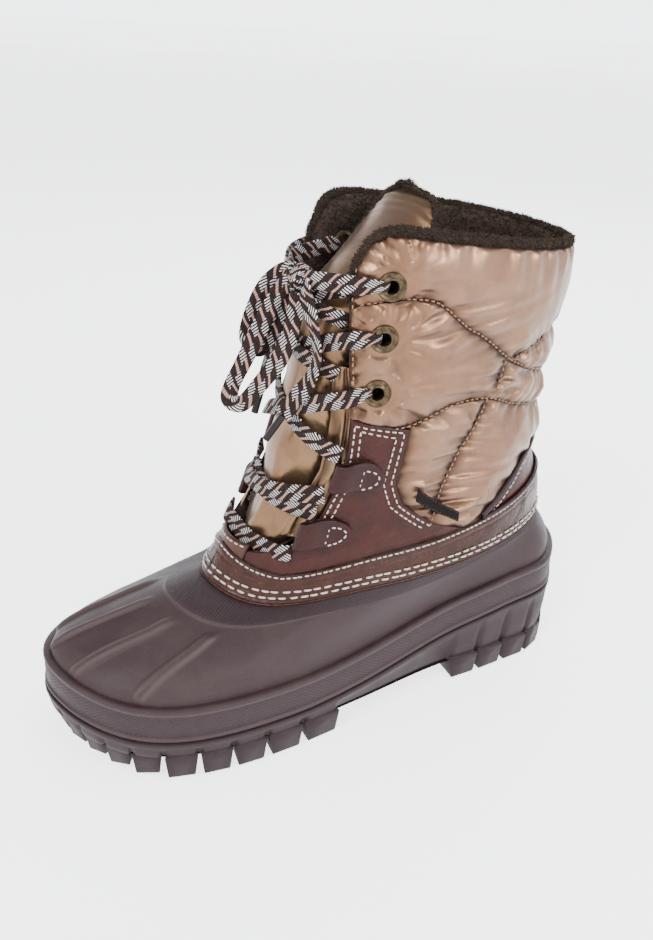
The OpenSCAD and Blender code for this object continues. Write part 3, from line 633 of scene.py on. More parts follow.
TAG = woven_look("tag_woven", (24, 15, 14), (12, 8, 8))
TIP = plain_look("aglet_plastic", (40, 28, 30), (28, 20, 22), 0.35, 1.0, 0.03)
STEEL = plain_look("steel_strip", (168, 168, 172), (132, 132, 138), 0.35, 3.0, 0.02, 1.0)
BOARD = plain_look("fibre_board", (186, 156, 112), (150, 120, 82), 0.85, 1.4, 0.12)
FOAM = plain_look("foam_rubber", (196, 190, 180), (168, 160, 150), 0.8, 1.0, 0.15)
STIFFENER = plain_look("stiffener_sheet", (222, 218, 204), (198, 192, 176), 0.6, 2.0, 0.05)
WADDING = plain_look("wadding_fibre", (236, 232, 222), (210, 204, 192), 0.95, 2.2, 0.4)


# ---------------------------------------------------------------- camera, light and floor
def add_camera():
    """The view of the boot from its outer front side, slightly from above."""
    right = Vector((0.468, 0.883, 0.039)).normalized()
    forward = Vector((-0.785, 0.436, -0.440)).normalized()
    up = right.cross(forward).normalized()
    right = forward.cross(up)
    data = bpy.data.cameras.new("view")
    data.sensor_fit, data.sensor_width, data.lens = "HORIZONTAL", 36, 49.62
    camera = bpy.data.objects.new("view", data)
    turn = Matrix((right, up, -forward)).transposed().to_4x4()
    camera.matrix_world = Matrix.Translation(Vector((0.3463, -0.1943, 0.3126))) @ turn
    bpy.context.scene.collection.objects.link(camera)
    bpy.context.scene.camera = camera


def add_light(name, place, aim_z, size, power_w):
    """A round lamp that looks at a height above the middle of the floor."""
    data = bpy.data.lights.new(name, "AREA")
    data.shape, data.size, data.energy = "DISK", size, power_w
    lamp = bpy.data.objects.new(name, data)
    aim = (Vector((0, 0, aim_z)) - Vector(place)).to_track_quat("-Z", "Y")
    lamp.matrix_world = Matrix.Translation(Vector(place)) @ aim.to_matrix().to_4x4()
    bpy.context.scene.collection.objects.link(lamp)


def add_studio():
    """A pale, faintly lit floor that turns up into a far wall, under a dimmer sky and four soft lamps."""
    floor = Look("floor_pale", 0.7, Specular_IOR_Level=0.1, Emission_Color=(0.96, 0.975, 1, 1),
                 Emission_Strength=2.5)
    haze = floor.noise(900, 2)
    floor.color(floor.blend(haze, srgb(206, 207, 210, 1), srgb(200, 202, 206, 1)))
    turn = TAU * np.arange(64) / 64
    rise_out = ((0.0007, -0.0004), (1, -0.0004), (1.1, 0.3), (1.15, 9.0))
    rings = [np.stack([FLOOR_REACH * r * np.cos(turn), FLOOR_REACH * r * np.sin(turn), np.full(64, z)], -1)
             for r, z in rise_out]
    mesh = bpy.data.meshes.new("floor")
    mesh.from_pydata(np.concatenate(rings).tolist(), [], quads(4, 64, closed=True) + [list(range(64))])
    mesh.materials.append(floor.mat)
    plane = bpy.data.objects.new("floor", mesh)
    bpy.context.scene.collection.objects.link(plane)
    world = bpy.context.scene.world or bpy.data.worlds.new("world")
    bpy.context.scene.world = world
    world.use_nodes = True
    sky = world.node_tree.nodes["Background"]
    sky.inputs[0].default_value = (0.97, 0.98, 1.0, 1.0)
    sky.inputs[1].default_value = 0.55
    add_light("key", (0.55, -0.95, 1.25), 0.12, 0.5, 30)
    add_light("side", (1.3, 0.5, 0.8), 0.12, 0.5, 22)
    add_light("back", (-0.8, 0.9, 1.0), 0.15, 0.9, 14)
    add_light("top", (0.0, 0.1, 1.6), 0.1, 0.9, 14)


# ---------------------------------------------------------------- lace
# Routes of the free lengths, in millimetres, as in the CAD source
BOW_FRONT = [[5, -24, 216], [1, -28, 212], [0, -33, 204], [0, -39, 193], [1, -46, 181], [1, -52, 170],
             [4, -54, 165], [8, -50, 164], [10, -43, 172], [11, -34, 183], [11, -29, 194], [10, -26, 204],
             [9, -24, 211]]
BOW_BACK = [[2, -23, 219], [-3, -26, 218], [-6, -31, 213], [-7, -36, 205], [-7, -40, 196], [-6, -41, 188],
            [-3, -37, 184], [-2, -33, 190], [-2, -29, 199], [0, -26, 207], [3, -24, 212]]
TAIL_FRONT = [[12, -22, 217], [15, -24, 213], [18, -23, 204], [20, -21, 193], [21, -21, 183], [19, -24, 173],
              [16, -29, 165], [14, -33, 158]]
TAIL_BACK = [[2, -22, 213], [-2, -24, 207], [-5, -25, 197], [-7, -27, 186], [-8, -30, 175], [-8, -33, 165]]
BOW_FACE = [0.75, -0.2, 0.55]
TAIL_FACE = [0.2, -0.9, -0.4]
KNOT = np.array([6.0, -22.5, 217.0])
# Strands from the lowest bar up to the knot: station, angle from the front, height off the upper
STRANDS = [
    [[1.08, 38, 3.6], [1.07, 32, 2.6], [1.06, 20, -3], [1.05, 0, -5], [1.06, -12, -3], [1.08, -22, 2.6],
     [1.08, -32, 3.6]],
    [[1.76, 43, 3.8], [1.8, 30, -0.5], [1.88, 12, -4], [1.96, -10, -4], [2.02, -28, -0.5], [2.06, -41, 3.4]],
    [[1.76, -38, 3.4], [1.8, -28, 1.5], [1.88, -10, -1.6], [1.96, 12, -1.6], [2.02, 30, 1.5], [2.06, 44, 4]],
    [[2.7, 45, 4], [2.85, 30, 1], [3.05, 10, -0.4], [3.25, -12, -0.4], [3.42, -30, 1.4], [3.54, -43, 5.2],
     [3.62, -54, 5.8]],
    [[2.7, -44, 3.2], [2.85, -28, 3], [3.05, -8, 1.8], [3.25, 12, 1.8], [3.42, 30, 3], [3.53, 42, 5.4],
     [3.62, 51, 5.8]],
    [[3.75, -38, -4], [3.85, -22, -1.8], [4, 0, -0.4], [4.15, 20, -0.4], [4.28, 34, 3.6], [4.36, 43, 5.6],
     [4.38, 51, 5.8]],
    [[3.76, 35, -3.4], [3.86, 22, 0.2], [4, 0, 1.8], [4.15, -20, 1.6], [4.28, -38, 4], [4.36, -49, 5.6],
     [4.38, -58, 5.8]],
    [[4.5, -40, -4], [4.6, -20, -1], [4.72, 0, 0], [4.85, 18, -1.5], [4.95, 30, -4]],
    [[4.5, 34, -3], [4.6, 20, 1], [4.75, 0, 2.4], [4.88, -20, 2], [4.98, -40, 4], [5.07, -54, 5.8],
     [5.12, -64, 6]],
    [[5.12, 51, 5.8], [5.09, 40, 5.8], [5.06, 30, 5], [5.02, 18, 4.6], [5, 11, 5]],
    [[5.12, -64, -9.8], [5.1, -50, -10], [5.06, -30, -4], [5.02, -10, 2], [5, 0, 4.6]]]


def woven(path, side, half_w=LACE_WIDTH / 2, half_t=LACE_THICK / 2):
    """A stretch of flat lace."""
    return sweep(path, side, half_w, half_t, 16, 0.62)


def free_lace(name, route, face, node):
    path = along(route, np.linspace(0, len(route) - 1, 16 * (len(route) - 1) + 1))
    far = np.linspace(0, 1, len(path))
    # the face turns a little along its length, as a soft flat cord does
    face = np.asarray(face, float)
    lean = 0.3 * np.sin(TAU * 1.3 * far)[:, None]
    side = unit(unit(np.cross(np.gradient(path, axis=0), face)) + lean * face)
    cord = woven(path, side, LACE_WIDTH / 2 * (1 - 0.1 * np.sin(TAU * 2 * far) ** 2))
    piece = make_parts(name, [cord], LACE, [node])


def add_free_laces():
    tips = [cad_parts["aglet_front"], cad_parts["aglet_back"]]
    free_lace("lace_bow_front", BOW_FRONT, BOW_FACE, "bow_loop_front")
    free_lace("lace_bow_back", BOW_BACK, BOW_FACE, "bow_loop_back")
    free_lace("lace_tail_front", TAIL_FRONT, TAIL_FACE, "tail_front")
    free_lace("lace_tail_back", TAIL_BACK, TAIL_FACE, "tail_back")
    for tip in tips:
        tip.data.materials.clear()
        tip.data.materials.append(TIP)


def eyelet_dive(s, a, side):
    """Points that take a strand's end over the rim and down into the eyelet at (s, a)."""
    return [[s, a - side * 6.0, EYELET_REST + 1.9], [s, a - side * 3.0, EYELET_REST + 1.1],
            [s, a - side * 1.6, EYELET_REST - 1.2], [s, a - side * 1.2, -3.5]]


def strand_path(points):
    """A strand's points with its ends led into the eyelet or loop that it meets."""
    points = [list(p) for p in points]
    s, a, d = points[-1]
    if d > 5.5:
        points = points[:-1] + eyelet_dive(s, a + np.sign(a) * (3 if s < 5 else 4), np.sign(a))
    s, a, d = points[0]
    if s == 5.12 and d > 5:
        points = eyelet_dive(s, 54, 1)[::-1] + points[1:]
    elif s == 5.12:
        points = [[s, -66, -6], [s, -64, -9]] + points[1:]
    return points


def add_laced_strands():
    parts = []
    for k, points in enumerate(STRANDS):
        p = np.array(strand_path(points))
        fine = along(p, np.linspace(0, len(p) - 1, 14 * (len(p) - 1) + 1))
        s, a, d = fine.T
        path = upper_at(s, a, d)
        out = upper_out(s, a)
        near = np.zeros(len(s))
        for sign in (1, -1):
            for es, ea in EYELETS[sign]:
                away = np.hypot(DEGREE_MM * (a - sign * ea), STATION_MM * (s - es))
                near = np.maximum(near, smooth((9.0 - away) / 6.5) * (d < 6.5))
        half = LACE_WIDTH / 2 * (1 - 0.45 * near)
        wave = 0.25 * np.sin(np.linspace(0, 7 + k, len(s)))[:, None]
        side = unit(np.cross(np.gradient(path, axis=0), out)) + wave * out
        part = woven(path, side, half)
        part[2][:, 1] += 17 * k
        parts.append(part)
    make_parts("lace_strands", parts, LACE, ["lace"])


def add_knot():
    """Three turns of lace pulled tight round each other."""
    parts = []
    loops = [((1, 0.1, -0.25), (0.1, 0.9, 0.5), 4.6, 4.0, 0.0),
             ((0.35, 0.3, 1), (0.1, 1, -0.2), 4.8, 3.6, 1.0),
             ((1, 0.2, 0.5), (0.2, 1, -0.4), 5.6, 3.0, 2.0)]
    q = np.linspace(0, TAU, 40)[:, None]
    for axis, other, long, short, phase in loops:
        one, two = unit(np.array(axis, float)), unit(np.array(other, float))
        normal = unit(np.cross(one, two))
        path = KNOT + long * np.cos(q) * one + short * np.sin(q) * two + 0.8 * np.sin(2 * q + phase) * normal
        part = woven(path, np.broadcast_to(normal, path.shape), 2.9, 0.9)
        part[2][:, 1] += 31 * phase
        parts.append(part)
    make_parts("lace_knot_turns", parts, LACE, ["lace_knot"])


# ---------------------------------------------------------------- stitches and edging
def stitches(rows, look, name, long=2.5, pitch=3.5, radius=0.42, lift=0.22):
    """Short rounded stitches along rows of (points, normals) in millimetres."""
    rng = np.random.default_rng(len(name) + len(rows))
    sides, stations = 6, np.array([0, 0.12, 0.4, 0.7, 0.9, 1.0])
    arch = np.array([-0.5, 0.35, 0.8, 0.8, 0.35, -0.5]) * lift
    girth = np.array([0.35, 0.85, 1.0, 1.0, 0.85, 0.35]) * radius
    q = TAU * np.arange(sides) / sides
    parts = []
    for path, normal in rows:
        far = lengths(path, 0)
        count = max(1, int(far[-1] / pitch))
        starts = (np.arange(count) + 0.5) * far[-1] / count - long / 2
        starts = starts + rng.uniform(-0.12, 0.12, count) * pitch
        at = starts[:, None] + long * stations
        spine = np.stack([np.interp(at, far, path[:, k]) for k in range(3)], -1)
        out = unit(np.stack([np.interp(at, far, normal[:, k]) for k in range(3)], -1))
        ahead = unit(spine[:, -1] - spine[:, 0])[:, None]
        across = unit(np.cross(ahead, out))
        skew = rng.uniform(-0.16, 0.16, (count, 1, 1)) * (stations - 0.5)[None, :, None]
        spine = spine + out * (arch[None, :, None] + radius * 0.4) + across * skew
        ring = (spine[:, :, None] + across[:, :, None] * (girth[:, None] * np.cos(q))[None, :, :, None]
                + out[:, :, None] * (girth[:, None] * np.sin(q))[None, :, :, None])
        n = len(stations) * sides
        one = np.array(quads(len(stations), sides, closed=True))
        faces = (one[None] + (np.arange(count) * n)[:, None, None]).reshape(-1, 4).tolist()
        uv = np.stack([np.broadcast_to(q * radius, ring.shape[:3]),
                       np.broadcast_to((long * stations)[None, :, None], ring.shape[:3])], -1)
        parts.append((ring.reshape(-1, 3), faces, uv.reshape(-1, 2), np.zeros(count * n)))
    make_parts(name, parts, look)


def seam_line(points, height):
    """A line along the upper: [station, angle] points to fine points and their outward normals."""
    p = np.asarray(points, float)
    step = np.hypot(np.diff(p[:, 0]) * STATION_MM, np.diff(p[:, 1]) * DEGREE_MM)
    far = np.concatenate([[0], np.cumsum(step)])
    at = np.linspace(0, far[-1], int(np.sum(step) * 1.2) + 2)
    s, a = np.interp(at, far, p[:, 0]), np.interp(at, far, p[:, 1])
    return upper_at(s, a, height), upper_out(s, a)


def around_line(table, side, start, stop, shift, height):
    """A seam line that follows an [angle, station] edge, moved by shift stations."""
    angles = np.linspace(start, stop, 60)
    return seam_line(np.stack([edge(table, np.abs(angles)) + shift, side * angles], -1), height)


def up_line(table, side, low, high, shift, height):
    """A seam line that follows a [station, angle] edge, moved by shift degrees."""
    s = np.linspace(low, high, 60)
    return seam_line(np.stack([s, side * (edge(table, s) + shift)], -1), height)


def add_piping(name, line, radius):
    path, out = line
    side = unit(np.cross(np.gradient(path, axis=0), out))
    make_parts(name, [sweep(path, side, radius, radius * 0.75, 10, 1.0)], PIPING)


# ---------------------------------------------------------------- rubber lower and sole
TOE_RIBS = [[[-20, -66], [-22, -95], [-22, -132]], [[0, -70], [-3, -105], [-8, -143]],
            [[14, -69], [16, -100], [14, -138]], [[27, -62], [33, -85], [37, -112]]]


def line_distance(x, y, points):
    """Distance to a polyline and the place along it."""
    best, place, far = np.full(x.shape, 1e9), np.zeros(x.shape), 0.0
    for (x0, y0), (x1, y1) in zip(points[:-1], points[1:]):
        size = np.hypot(x1 - x0, y1 - y0)
        t = np.clip(((x - x0) * (x1 - x0) + (y - y0) * (y1 - y0)) / size ** 2, 0, 1)
        d = np.hypot(x - x0 - t * (x1 - x0), y - y0 - t * (y1 - y0))
        place = np.where(d < best, far + t * size, place)
        best = np.minimum(best, d)
        far += size
    return best, place


def add_rubber_shell():
    rim_from, rows = 0.78, 70
    k = np.linspace(0, AROUND, RING + 1)
    s = np.concatenate([np.linspace(0, rim_from, rows), np.linspace(rim_from + 0.012, 0.985, 10), [1.0, 1.0]])
    k, s = np.meshgrid(k, s)
    base = shell_base(k, s)
    x, y = base[..., 0], base[..., 1]
    d, tone = np.zeros(s.shape), np.zeros(s.shape)
    for rib in TOE_RIBS:
        away, _ = line_distance(x, y, rib)
        fade = smooth((rim_from - 0.03 - s) / 0.1) * smooth(s / 0.16) * (y < -40)
        ridge = np.exp(-(away / 2.3) ** 4)
        d += 1.7 * ridge * fade
        # tone here is a painted highlight along the shoulders of the toe ribs
        tone = np.maximum(tone, 0.75 * np.exp(-((away - 1.5) / 0.9) ** 2) * fade)
    d += 0.35 * noises(x / 26, y / 26 + base[..., 2] / 30, 5) * smooth(s / 0.2) * smooth((rim_from - s) / 0.1)
    step = smooth((s - rim_from) / 0.012)
    d += step * (1.15 - 0.9 * smooth((s - 0.97) / 0.03))
    # tone here is a painted highlight along the edge of the rim's step
    tone = np.maximum(tone, 0.4 * np.exp(-((s - rim_from - 0.008) / 0.01) ** 2))
    outer = base + d[..., None] * shell_out(k, s)
    outer[-1] = shell_at(k[-1], s[-1], -RUBBER_WALL)
    bottom = np.concatenate([outer[:1, :, :2], groove_z(outer[:1, :, 1:2]) + 0.2], -1)
    grid = np.concatenate([bottom, outer])
    split = 1 + rows
    tone = np.concatenate([tone[:1], tone])
    make_rings("rubber_shell_body", grid[:split + 1], SHELL, ["rubber_shell"],
               tone[:split + 1])
    make_rings("rubber_shell_rim", grid[split:], RIBBED, tone=tone[split:])
    k = np.linspace(0, AROUND, 145)
    inner = [shell_at(k, v, -RUBBER_WALL) for v in (1.0, 0.8, 0.55, 0.28, 0.02)]
    inner.append(sole_ring(turns(k), SHELL_INSET + RUBBER_WALL, 2.1))
    make_rings("rubber_shell_inside", np.stack(inner), SHELL)


def add_foxing():
    t = np.linspace(0, len(OUTLINE), RING + 1)
    # height above the groove and inset, from the bottom up
    profile = [[0.0, 2.2], [0.2, 0.9], [1.2, 0.3], [2.2, 0.35], [2.8, 1.0], [3.3, 1.1], [6, 0.95], [9, 0.9],
               [12, 1.05], [14.0, 1.35], [14.5, 1.3], [15.2, 0.75], [16.4, 0.8], [17.3, 1.4], [17.8, 2.6],
               [17.6, 4.4]]
    grid = np.stack([sole_ring(t, inset, height) for height, inset in profile])
    tone = np.zeros(grid.shape[:2])
    # tone here is a painted highlight on the crests of the lower and upper lips
    tone[3] = tone[11] = 0.35
    make_rings("foxing_knurled_band", grid[4:10], KNURLED, ["foxing_band"], tone[4:10])
    make_rings("foxing_lower_lip", grid[:5], SHELL, tone=tone[:5])
    make_rings("foxing_upper_lip", grid[9:], SHELL, tone=tone[9:])


def lug_block(low, high, z_low, z_high):
    """A tapered tread block with a softened lower edge, from its corners below and above."""
    low, high = np.array(low), np.array(high)
    middle = low.mean(0)
    rings = [(mix(middle, low, 0.86), z_low), (mix(middle, low, 0.97), z_low + 0.5),
             (mix(low, high, 0.12), z_low + 1.4), (mix(low, high, 0.6), mix(z_low, z_high, 0.6)),
             (high, z_high), (mix(middle, high, 0.72), z_high + 2.2)]
    points = np.concatenate([np.concatenate([p, np.full((4, 1), z)], -1) for p, z in rings])
    faces = quads(6, 4, closed=True) + [[3, 2, 1, 0], [20, 21, 22, 23]]
    return points, faces, points[:, :2], np.zeros(24)


def rectangle(x, y, half_w, half_h):
    signs = (-1, -1), (1, -1), (1, 1), (-1, 1)
    return [[x + i * half_w, y + j * half_h] for i, j in signs]


def lug_corners(q, half, near, far_half, far):
    """Corners of a lug at q on the outline, at the insets near and far."""
    return [sole_in(q - half, near), sole_in(q + half, near), sole_in(q + far_half, far),
            sole_in(q - far_half, far)]


def add_outsole():
    t = np.linspace(0, len(OUTLINE), RING + 1)
    mid = len(OUTLINE) / 2
    lugs = [(i + 0.5) * 0.475 for i in range(-10, 10)] + [mid + (i + 0.5) * 0.46 for i in range(-6, 6)]
    near = np.min([np.abs((t - q + mid) % len(OUTLINE) - mid) for q in lugs], axis=0)
    on_lug = smooth((0.235 - near) / 0.07)
    # share of the wall's height, inset, share of the flutes' depth
    wall = [(0.0, SHELL_INSET, 1.0), (0.1, 2.4, 1.0), (0.3, 1.4, 1.0), (0.55, 0.9, 0.9),
            (0.8, 0.6, 0.5), (1.0, 0.35, 0.0)]
    lip = [(-2.6, 0.0), (-1.5, 0.0), (-0.9, 0.5), (-0.7, 1.6), (-0.1, 2.6)]
    grid = []
    for share, inset, cut in wall:
        p = sole_in(t, inset + GROOVE_DEPTH * (1 - on_lug) * cut)
        z = mix(sole_bottom(p[:, 1:2]) + LUG_DEPTH - 1, groove_z(p[:, 1:2]) - 3.4, share)
        grid.append(np.concatenate([p, z], -1))
    grid = np.stack(grid + [sole_ring(t, inset, height) for height, inset in lip])
    tone = np.zeros(grid.shape[:2])
    # tone here is a painted highlight on the crest of the lip above the tread
    tone[6:8] = 0.25
    parts = [(grid.reshape(-1, 3), quads(*grid.shape[:2]), ring_uv(grid).reshape(-1, 2), tone.ravel())]
    plate_t = np.linspace(0, len(OUTLINE), 145)[:-1]
    plate = []
    for inset in (SHELL_INSET, 9, 16, 24, 32):
        p = sole_in(plate_t, SHELL_INSET) * (1 - (inset - SHELL_INSET) / 42)
        plate.append(np.concatenate([p, sole_bottom(p[:, 1:2]) + LUG_DEPTH - 1], -1))
    plate = np.stack(plate)
    n = plate.shape[1]
    faces = quads(len(plate), n, closed=True, flip=True) + [list(range(4 * n, 5 * n))[::-1]]
    parts.append((plate.reshape(-1, 3), faces, plate[..., :2].reshape(-1, 2), np.zeros(5 * n)))
    for q in lugs:
        y = float(sole_in(q, 0)[1])
        tuck = 4.5 * smooth((-y - 95) / 40) + 1
        half, deep, z = 0.175, 17, float(sole_bottom(y))
        low = lug_corners(q, half, tuck, half * 0.8, deep)
        high = lug_corners(q, half * 1.25, tuck / 2, half * 0.95, deep + 2)
        parts.append(lug_block(low, high, z, z + LUG_DEPTH + 1.5))
    for places, x in ((range(-95, -14, 20), 17), ((75, 95, 115), 11)):
        for y in places:
            for x0 in (-x, x):
                parts.append(lug_block(rectangle(x0, y, 8, 4.5), rectangle(x0, y, 9, 5.5), 0.0, LUG_DEPTH))
    make_parts("outsole_tread", parts, SOLE, ["outsole"])


# ---------------------------------------------------------------- leather
def leather_panel(name, s, a, low, thick, look, nodes, relief=0, radius=1.3):
    """A leather piece on the upper, with rounded edges that are burnished darker."""
    margin, x, y = margins(upper_point(s, a))
    grain = 0.18 * noises(x / 9 + 3, y / 9, len(name))
    outer = upper_at(s, a, low + thick * round_edge(margin, radius) + grain * smooth(margin / 3) + relief)
    slab(name, outer, upper_at(s, a, low), look, nodes, tone=0.9 * np.exp(-(margin / 1.1) ** 2))


def add_quarters():
    for side, word, _ in SIDES:
        u, v = np.meshgrid(bordered(70), bordered(90))
        w = u if side > 0 else 1 - u
        s = mix(0.55, mix(3.24, 3.08, w), v)
        a = side * mix(edge(FRONT_OUTER, s), edge(QUARTER_BACK, s), w)
        bend = 0.3 * noises(s * 2.2, np.abs(a) / 11, 40 + side) * smooth((s - 0.9) / 0.3)
        low = 0.7 * smooth((1.0 - s) / 0.2)
        leather_panel("quarter_%s_hide" % word, s, a, 0.0, LEATHER, HIDE, ["quarter_" + word], bend - low)


def add_vamp():
    u, v = np.meshgrid(bordered(40), bordered(26))
    a = mix(-17.5, 17.5, u)
    s = mix(0.5, 0.95 + 0.05 * (2 * u - 1) ** 2, v)
    leather_panel("vamp_hide", s, a, -0.2, 1.5, VAMP_SHEEN_HIDE, ["vamp"], radius=0.9)


def mirrored(table, a):
    """An [angle, station] edge read at an angle that goes all the way round."""
    return edge(table, np.where(a > 180, 360 - a, a))


def add_counter():
    u, v = np.meshgrid(bordered(150, 0.006), bordered(50, 0.02))
    a = mix(109, 251, u)
    s = mix(0.7, mirrored(COUNTER_TOP, a), v)
    leather_panel("heel_counter_hide", s, a, 0.05, 1.2, HIDE, ["heel_counter"])
    a = np.linspace(108, 252, 120)
    for name, table, shift, height, radius in (("heel_counter_piping", COUNTER_TOP, 0.015, 1.7, 1.75),
                                               ("heel_band_piping", BAND_TOP, 0.02, 2.4, 1.3)):
        add_piping(name, seam_line(np.stack([mirrored(table, a) + shift, a], -1), height), radius)


BAND_LOW, BAND_BACK, BAND_FRONT = 0.05, 1.15, 2.75


def add_collar_band():
    v = np.concatenate([np.linspace(0, 0.05, 6), np.linspace(0.07, 0.93, 40), np.linspace(0.95, 1, 6)])
    a, v = np.meshgrid(np.linspace(0, 360, 421), v)
    s = mix(BAND_LOW, mirrored(BAND_TOP, a), v)
    base = upper_point(s, a)
    rise_mm = lengths(base, 0)
    margin = np.minimum(rise_mm, rise_mm[-1:] - rise_mm)
    ripple = 0.25 * noises(a / 5.0, v * 3, 9) * smooth(margin / 4)
    valley = -0.28 * (np.exp(-((margin - 5.2) / 0.8) ** 2) + np.exp(-((margin - 2.3) / 0.7) ** 2))
    lift = BAND_BACK + (BAND_FRONT - BAND_BACK - 0.6 * v) * round_edge(margin, 1.1)
    outer = upper_at(s, a, lift + ripple + valley)
    back = upper_at(s[::-1], a[::-1], BAND_BACK)
    grid = np.concatenate([outer, back, outer[:1]])
    tone = np.concatenate([0.8 * np.exp(-(margin / 1.0) ** 2), np.ones(a.shape), np.ones((1, a.shape[1]))])
    make_rings("collar_band_hide", grid, BAND_HIDE, ["collar_band"], tone)
    profile = (1.3, -0.012), (2.2, -0.018), (2.75, 0.002), (2.8, 0.02)
    low = np.stack([upper_at(BAND_LOW + shift, a[0], d) for d, shift in profile])
    make_rings("collar_band_raw_edge", low, RAW_EDGE)


def band_row(up, from_top):
    """A row of stitches round the band, up millimetres from its lower edge or its top."""
    a = np.linspace(0.5, 359.5, 500)
    top = mirrored(BAND_TOP, a)
    s = top - up / BAND_MM if from_top else BAND_LOW + up / BAND_MM
    height = BAND_FRONT - 0.6 * ((s - BAND_LOW) / (top - BAND_LOW)) - 0.05
    return upper_at(s, a, height), upper_out(s, a)


def add_leather_stitches():
    rows = [band_row(5.0, False), band_row(8.4, False)]
    stitches(rows, WHITE_THREAD, "stitches_band_low", 3.6, 4.9, 0.52, 0.3)
    stitches([band_row(1.5, True)], WHITE_THREAD, "stitches_band_top", 2.1, 2.9, 0.4)
    rows = []
    flat_h = LEATHER + 0.05
    front, back = FRONT_OUTER, QUARTER_BACK
    for side in (1, -1):
        for inset in (1.8, 3.9):
            down, across = inset / STATION_MM, inset / DEGREE_MM
            rows.append(up_line(front, side, 1.15, 3.2 - down, across, flat_h))
            rows.append(up_line(back, side, 1.18, 3.08 - down, -across, flat_h))
            ends = [[3.2 - down, side * (edge(front, 3.2) + across)],
                    [3.09 - down, side * (edge(back, 3.08) - across)]]
            rows.append(seam_line(ends, flat_h))
        for inset in (2.4, 5.0):
            rows.append(around_line(COUNTER_TOP, side, 111, 179, -inset / 27.0, 1.25))
    top = np.linspace(-16, 16, 30)
    rows.append(seam_line([[0.95 + 0.05 * (x / 16) ** 2 - 1.6 / BAND_MM, x] for x in top], 1.25))
    stitches(rows, WHITE_THREAD, "stitches_leather", 2.2, 3.1, 0.4)


# ---------------------------------------------------------------- lace loops and tag
def loop_section(w):
    """Along the strap's outside, from its rounded end (0) forward and round the fold to its back (1):
    millimetres forward of the fold's rear, and height off the quarter."""
    points = [[-8.6, 3.0], [-7, 3.1], [-5, 3.1], [-2.8, 3.3], [-0.5, 4.4], [2.2, 6.1], [4.6, 6.3], [6.6, 4.6],
              [6.8, 2.6], [5.2, 0.5], [2.4, 0.15], [-1, 0.1], [-4, 0.1], [-8.4, 0.1]]
    return along(points, w * (len(points) - 1))


def add_loops():
    v = np.concatenate([[-1, -0.985, -0.95], np.linspace(-0.9, 0.9, 26), [0.95, 0.985, 1]])
    w, v = np.meshgrid(np.linspace(0, 1, 90), v)
    forward, height = np.moveaxis(loop_section(w), -1, 0)
    lift = LEATHER + 0.15
    for side, word, _ in SIDES:
        rows = []
        for i, (s0, a0) in enumerate(LOOPS):
            fold = a0 + 6.3
            end = np.clip((-forward - 2.4) / 6.2, 0, 1)
            half = 7.1 * np.sqrt(np.maximum(0.03, 1 - end ** 2)) * (1 - 0.06 * smooth(forward / 5))
            rounded = round_edge((1 - np.abs(v)) * half, 0.8)
            across = v * half + 0.4 * np.sin(forward * 0.5 + s0)
            lean = -0.25 * np.clip(-forward / 16, -0.3, 1) ** 2
            s = s0 + across / STATION_MM + lean
            tangent = np.stack([np.gradient(forward, axis=1), np.gradient(height, axis=1)], -1)
            normal = unit(np.stack([-tangent[..., 1], tangent[..., 0]], -1))

            def at(depth):
                f, h = forward - normal[..., 0] * depth, height - normal[..., 1] * depth
                return upper_at(s, side * (fold - f / DEGREE_MM), h + lift)[::-1, ::side]

            slab("lace_loop_%s_%d" % (word, i), at(0.7 * (1 - rounded)), at(1.35 - 0.5 * (1 - rounded)),
                 LOOP_HIDE, () if i else ["lace_loops_" + word],
                 tone=np.where(rounded < 0.9, 0.8, 0.1)[::-1])
            q = np.radians(np.linspace(90, 270, 40))
            arc = [[s0 + 4.6 * np.sin(x) / STATION_MM - 0.05,
                    side * (fold - (-2.2 + 4.6 * np.cos(x)) / DEGREE_MM)] for x in q]
            bar = [[s0 + x / STATION_MM - 0.04, side * (fold + 1.9 / DEGREE_MM)] for x in (-4.6, 0, 4.6)]
            rows += [seam_line(arc, lift + 3.05), seam_line(bar, lift + 3.05)]
        stitches(rows, WHITE_THREAD, "stitches_loops_" + word, 1.9, 2.8, 0.4)


def add_tag():
    low, high, angles = (1.86, 1.2), (2.12, 1.42), (79, 95)
    u, v = np.meshgrid(np.linspace(0, 1, 40), np.linspace(0, 1, 16))
    a = mix(*angles, u)
    s = mix(mix(*low, u), mix(*high, u), v)
    wave = 0.3 * np.sin(u * 5 + v * 2) + 0.2 * np.sin(v * 6)
    outer = upper_at(s, a, TAG_LIFT + 0.6 + wave)
    slab("side_tag_woven", outer, upper_at(s, a, TAG_LIFT + wave), TAG, ["side_tag"])
    u = np.linspace(0.04, 0.96, 30)
    rows = [(upper_at(mix(*ends, u) + shift, mix(*angles, u), TAG_LIFT + 0.75),
             upper_out(mix(*ends, u), mix(*angles, u))) for ends, shift in ((low, 0.03), (high, -0.03))]
    stitches(rows, DARK_THREAD, "stitches_tag", 1.4, 2.0, 0.25)


# ---------------------------------------------------------------- quilted panels
def flat_xy(s, a):
    return DEGREE_MM * np.abs(a), STATION_MM * s


def seam_xy(table):
    return [(DEGREE_MM * a, STATION_MM * s) for a, s in table]


def quilt_grid(side, front, low, high):
    """A panel's stations and angles, between its front edge, the back, and two edges by angle."""
    u, v = np.meshgrid(bordered(230, 0.008), bordered(110, 0.014))
    w = u if side > 0 else 1 - u
    a = mix(front((low(90.0) + high(90.0)) / 2), BACK, w)
    for _ in range(3):
        s = mix(low(a), high(a), v)
        a = mix(front(s), BACK, w)
    return mix(low(a), high(a), v), side * a


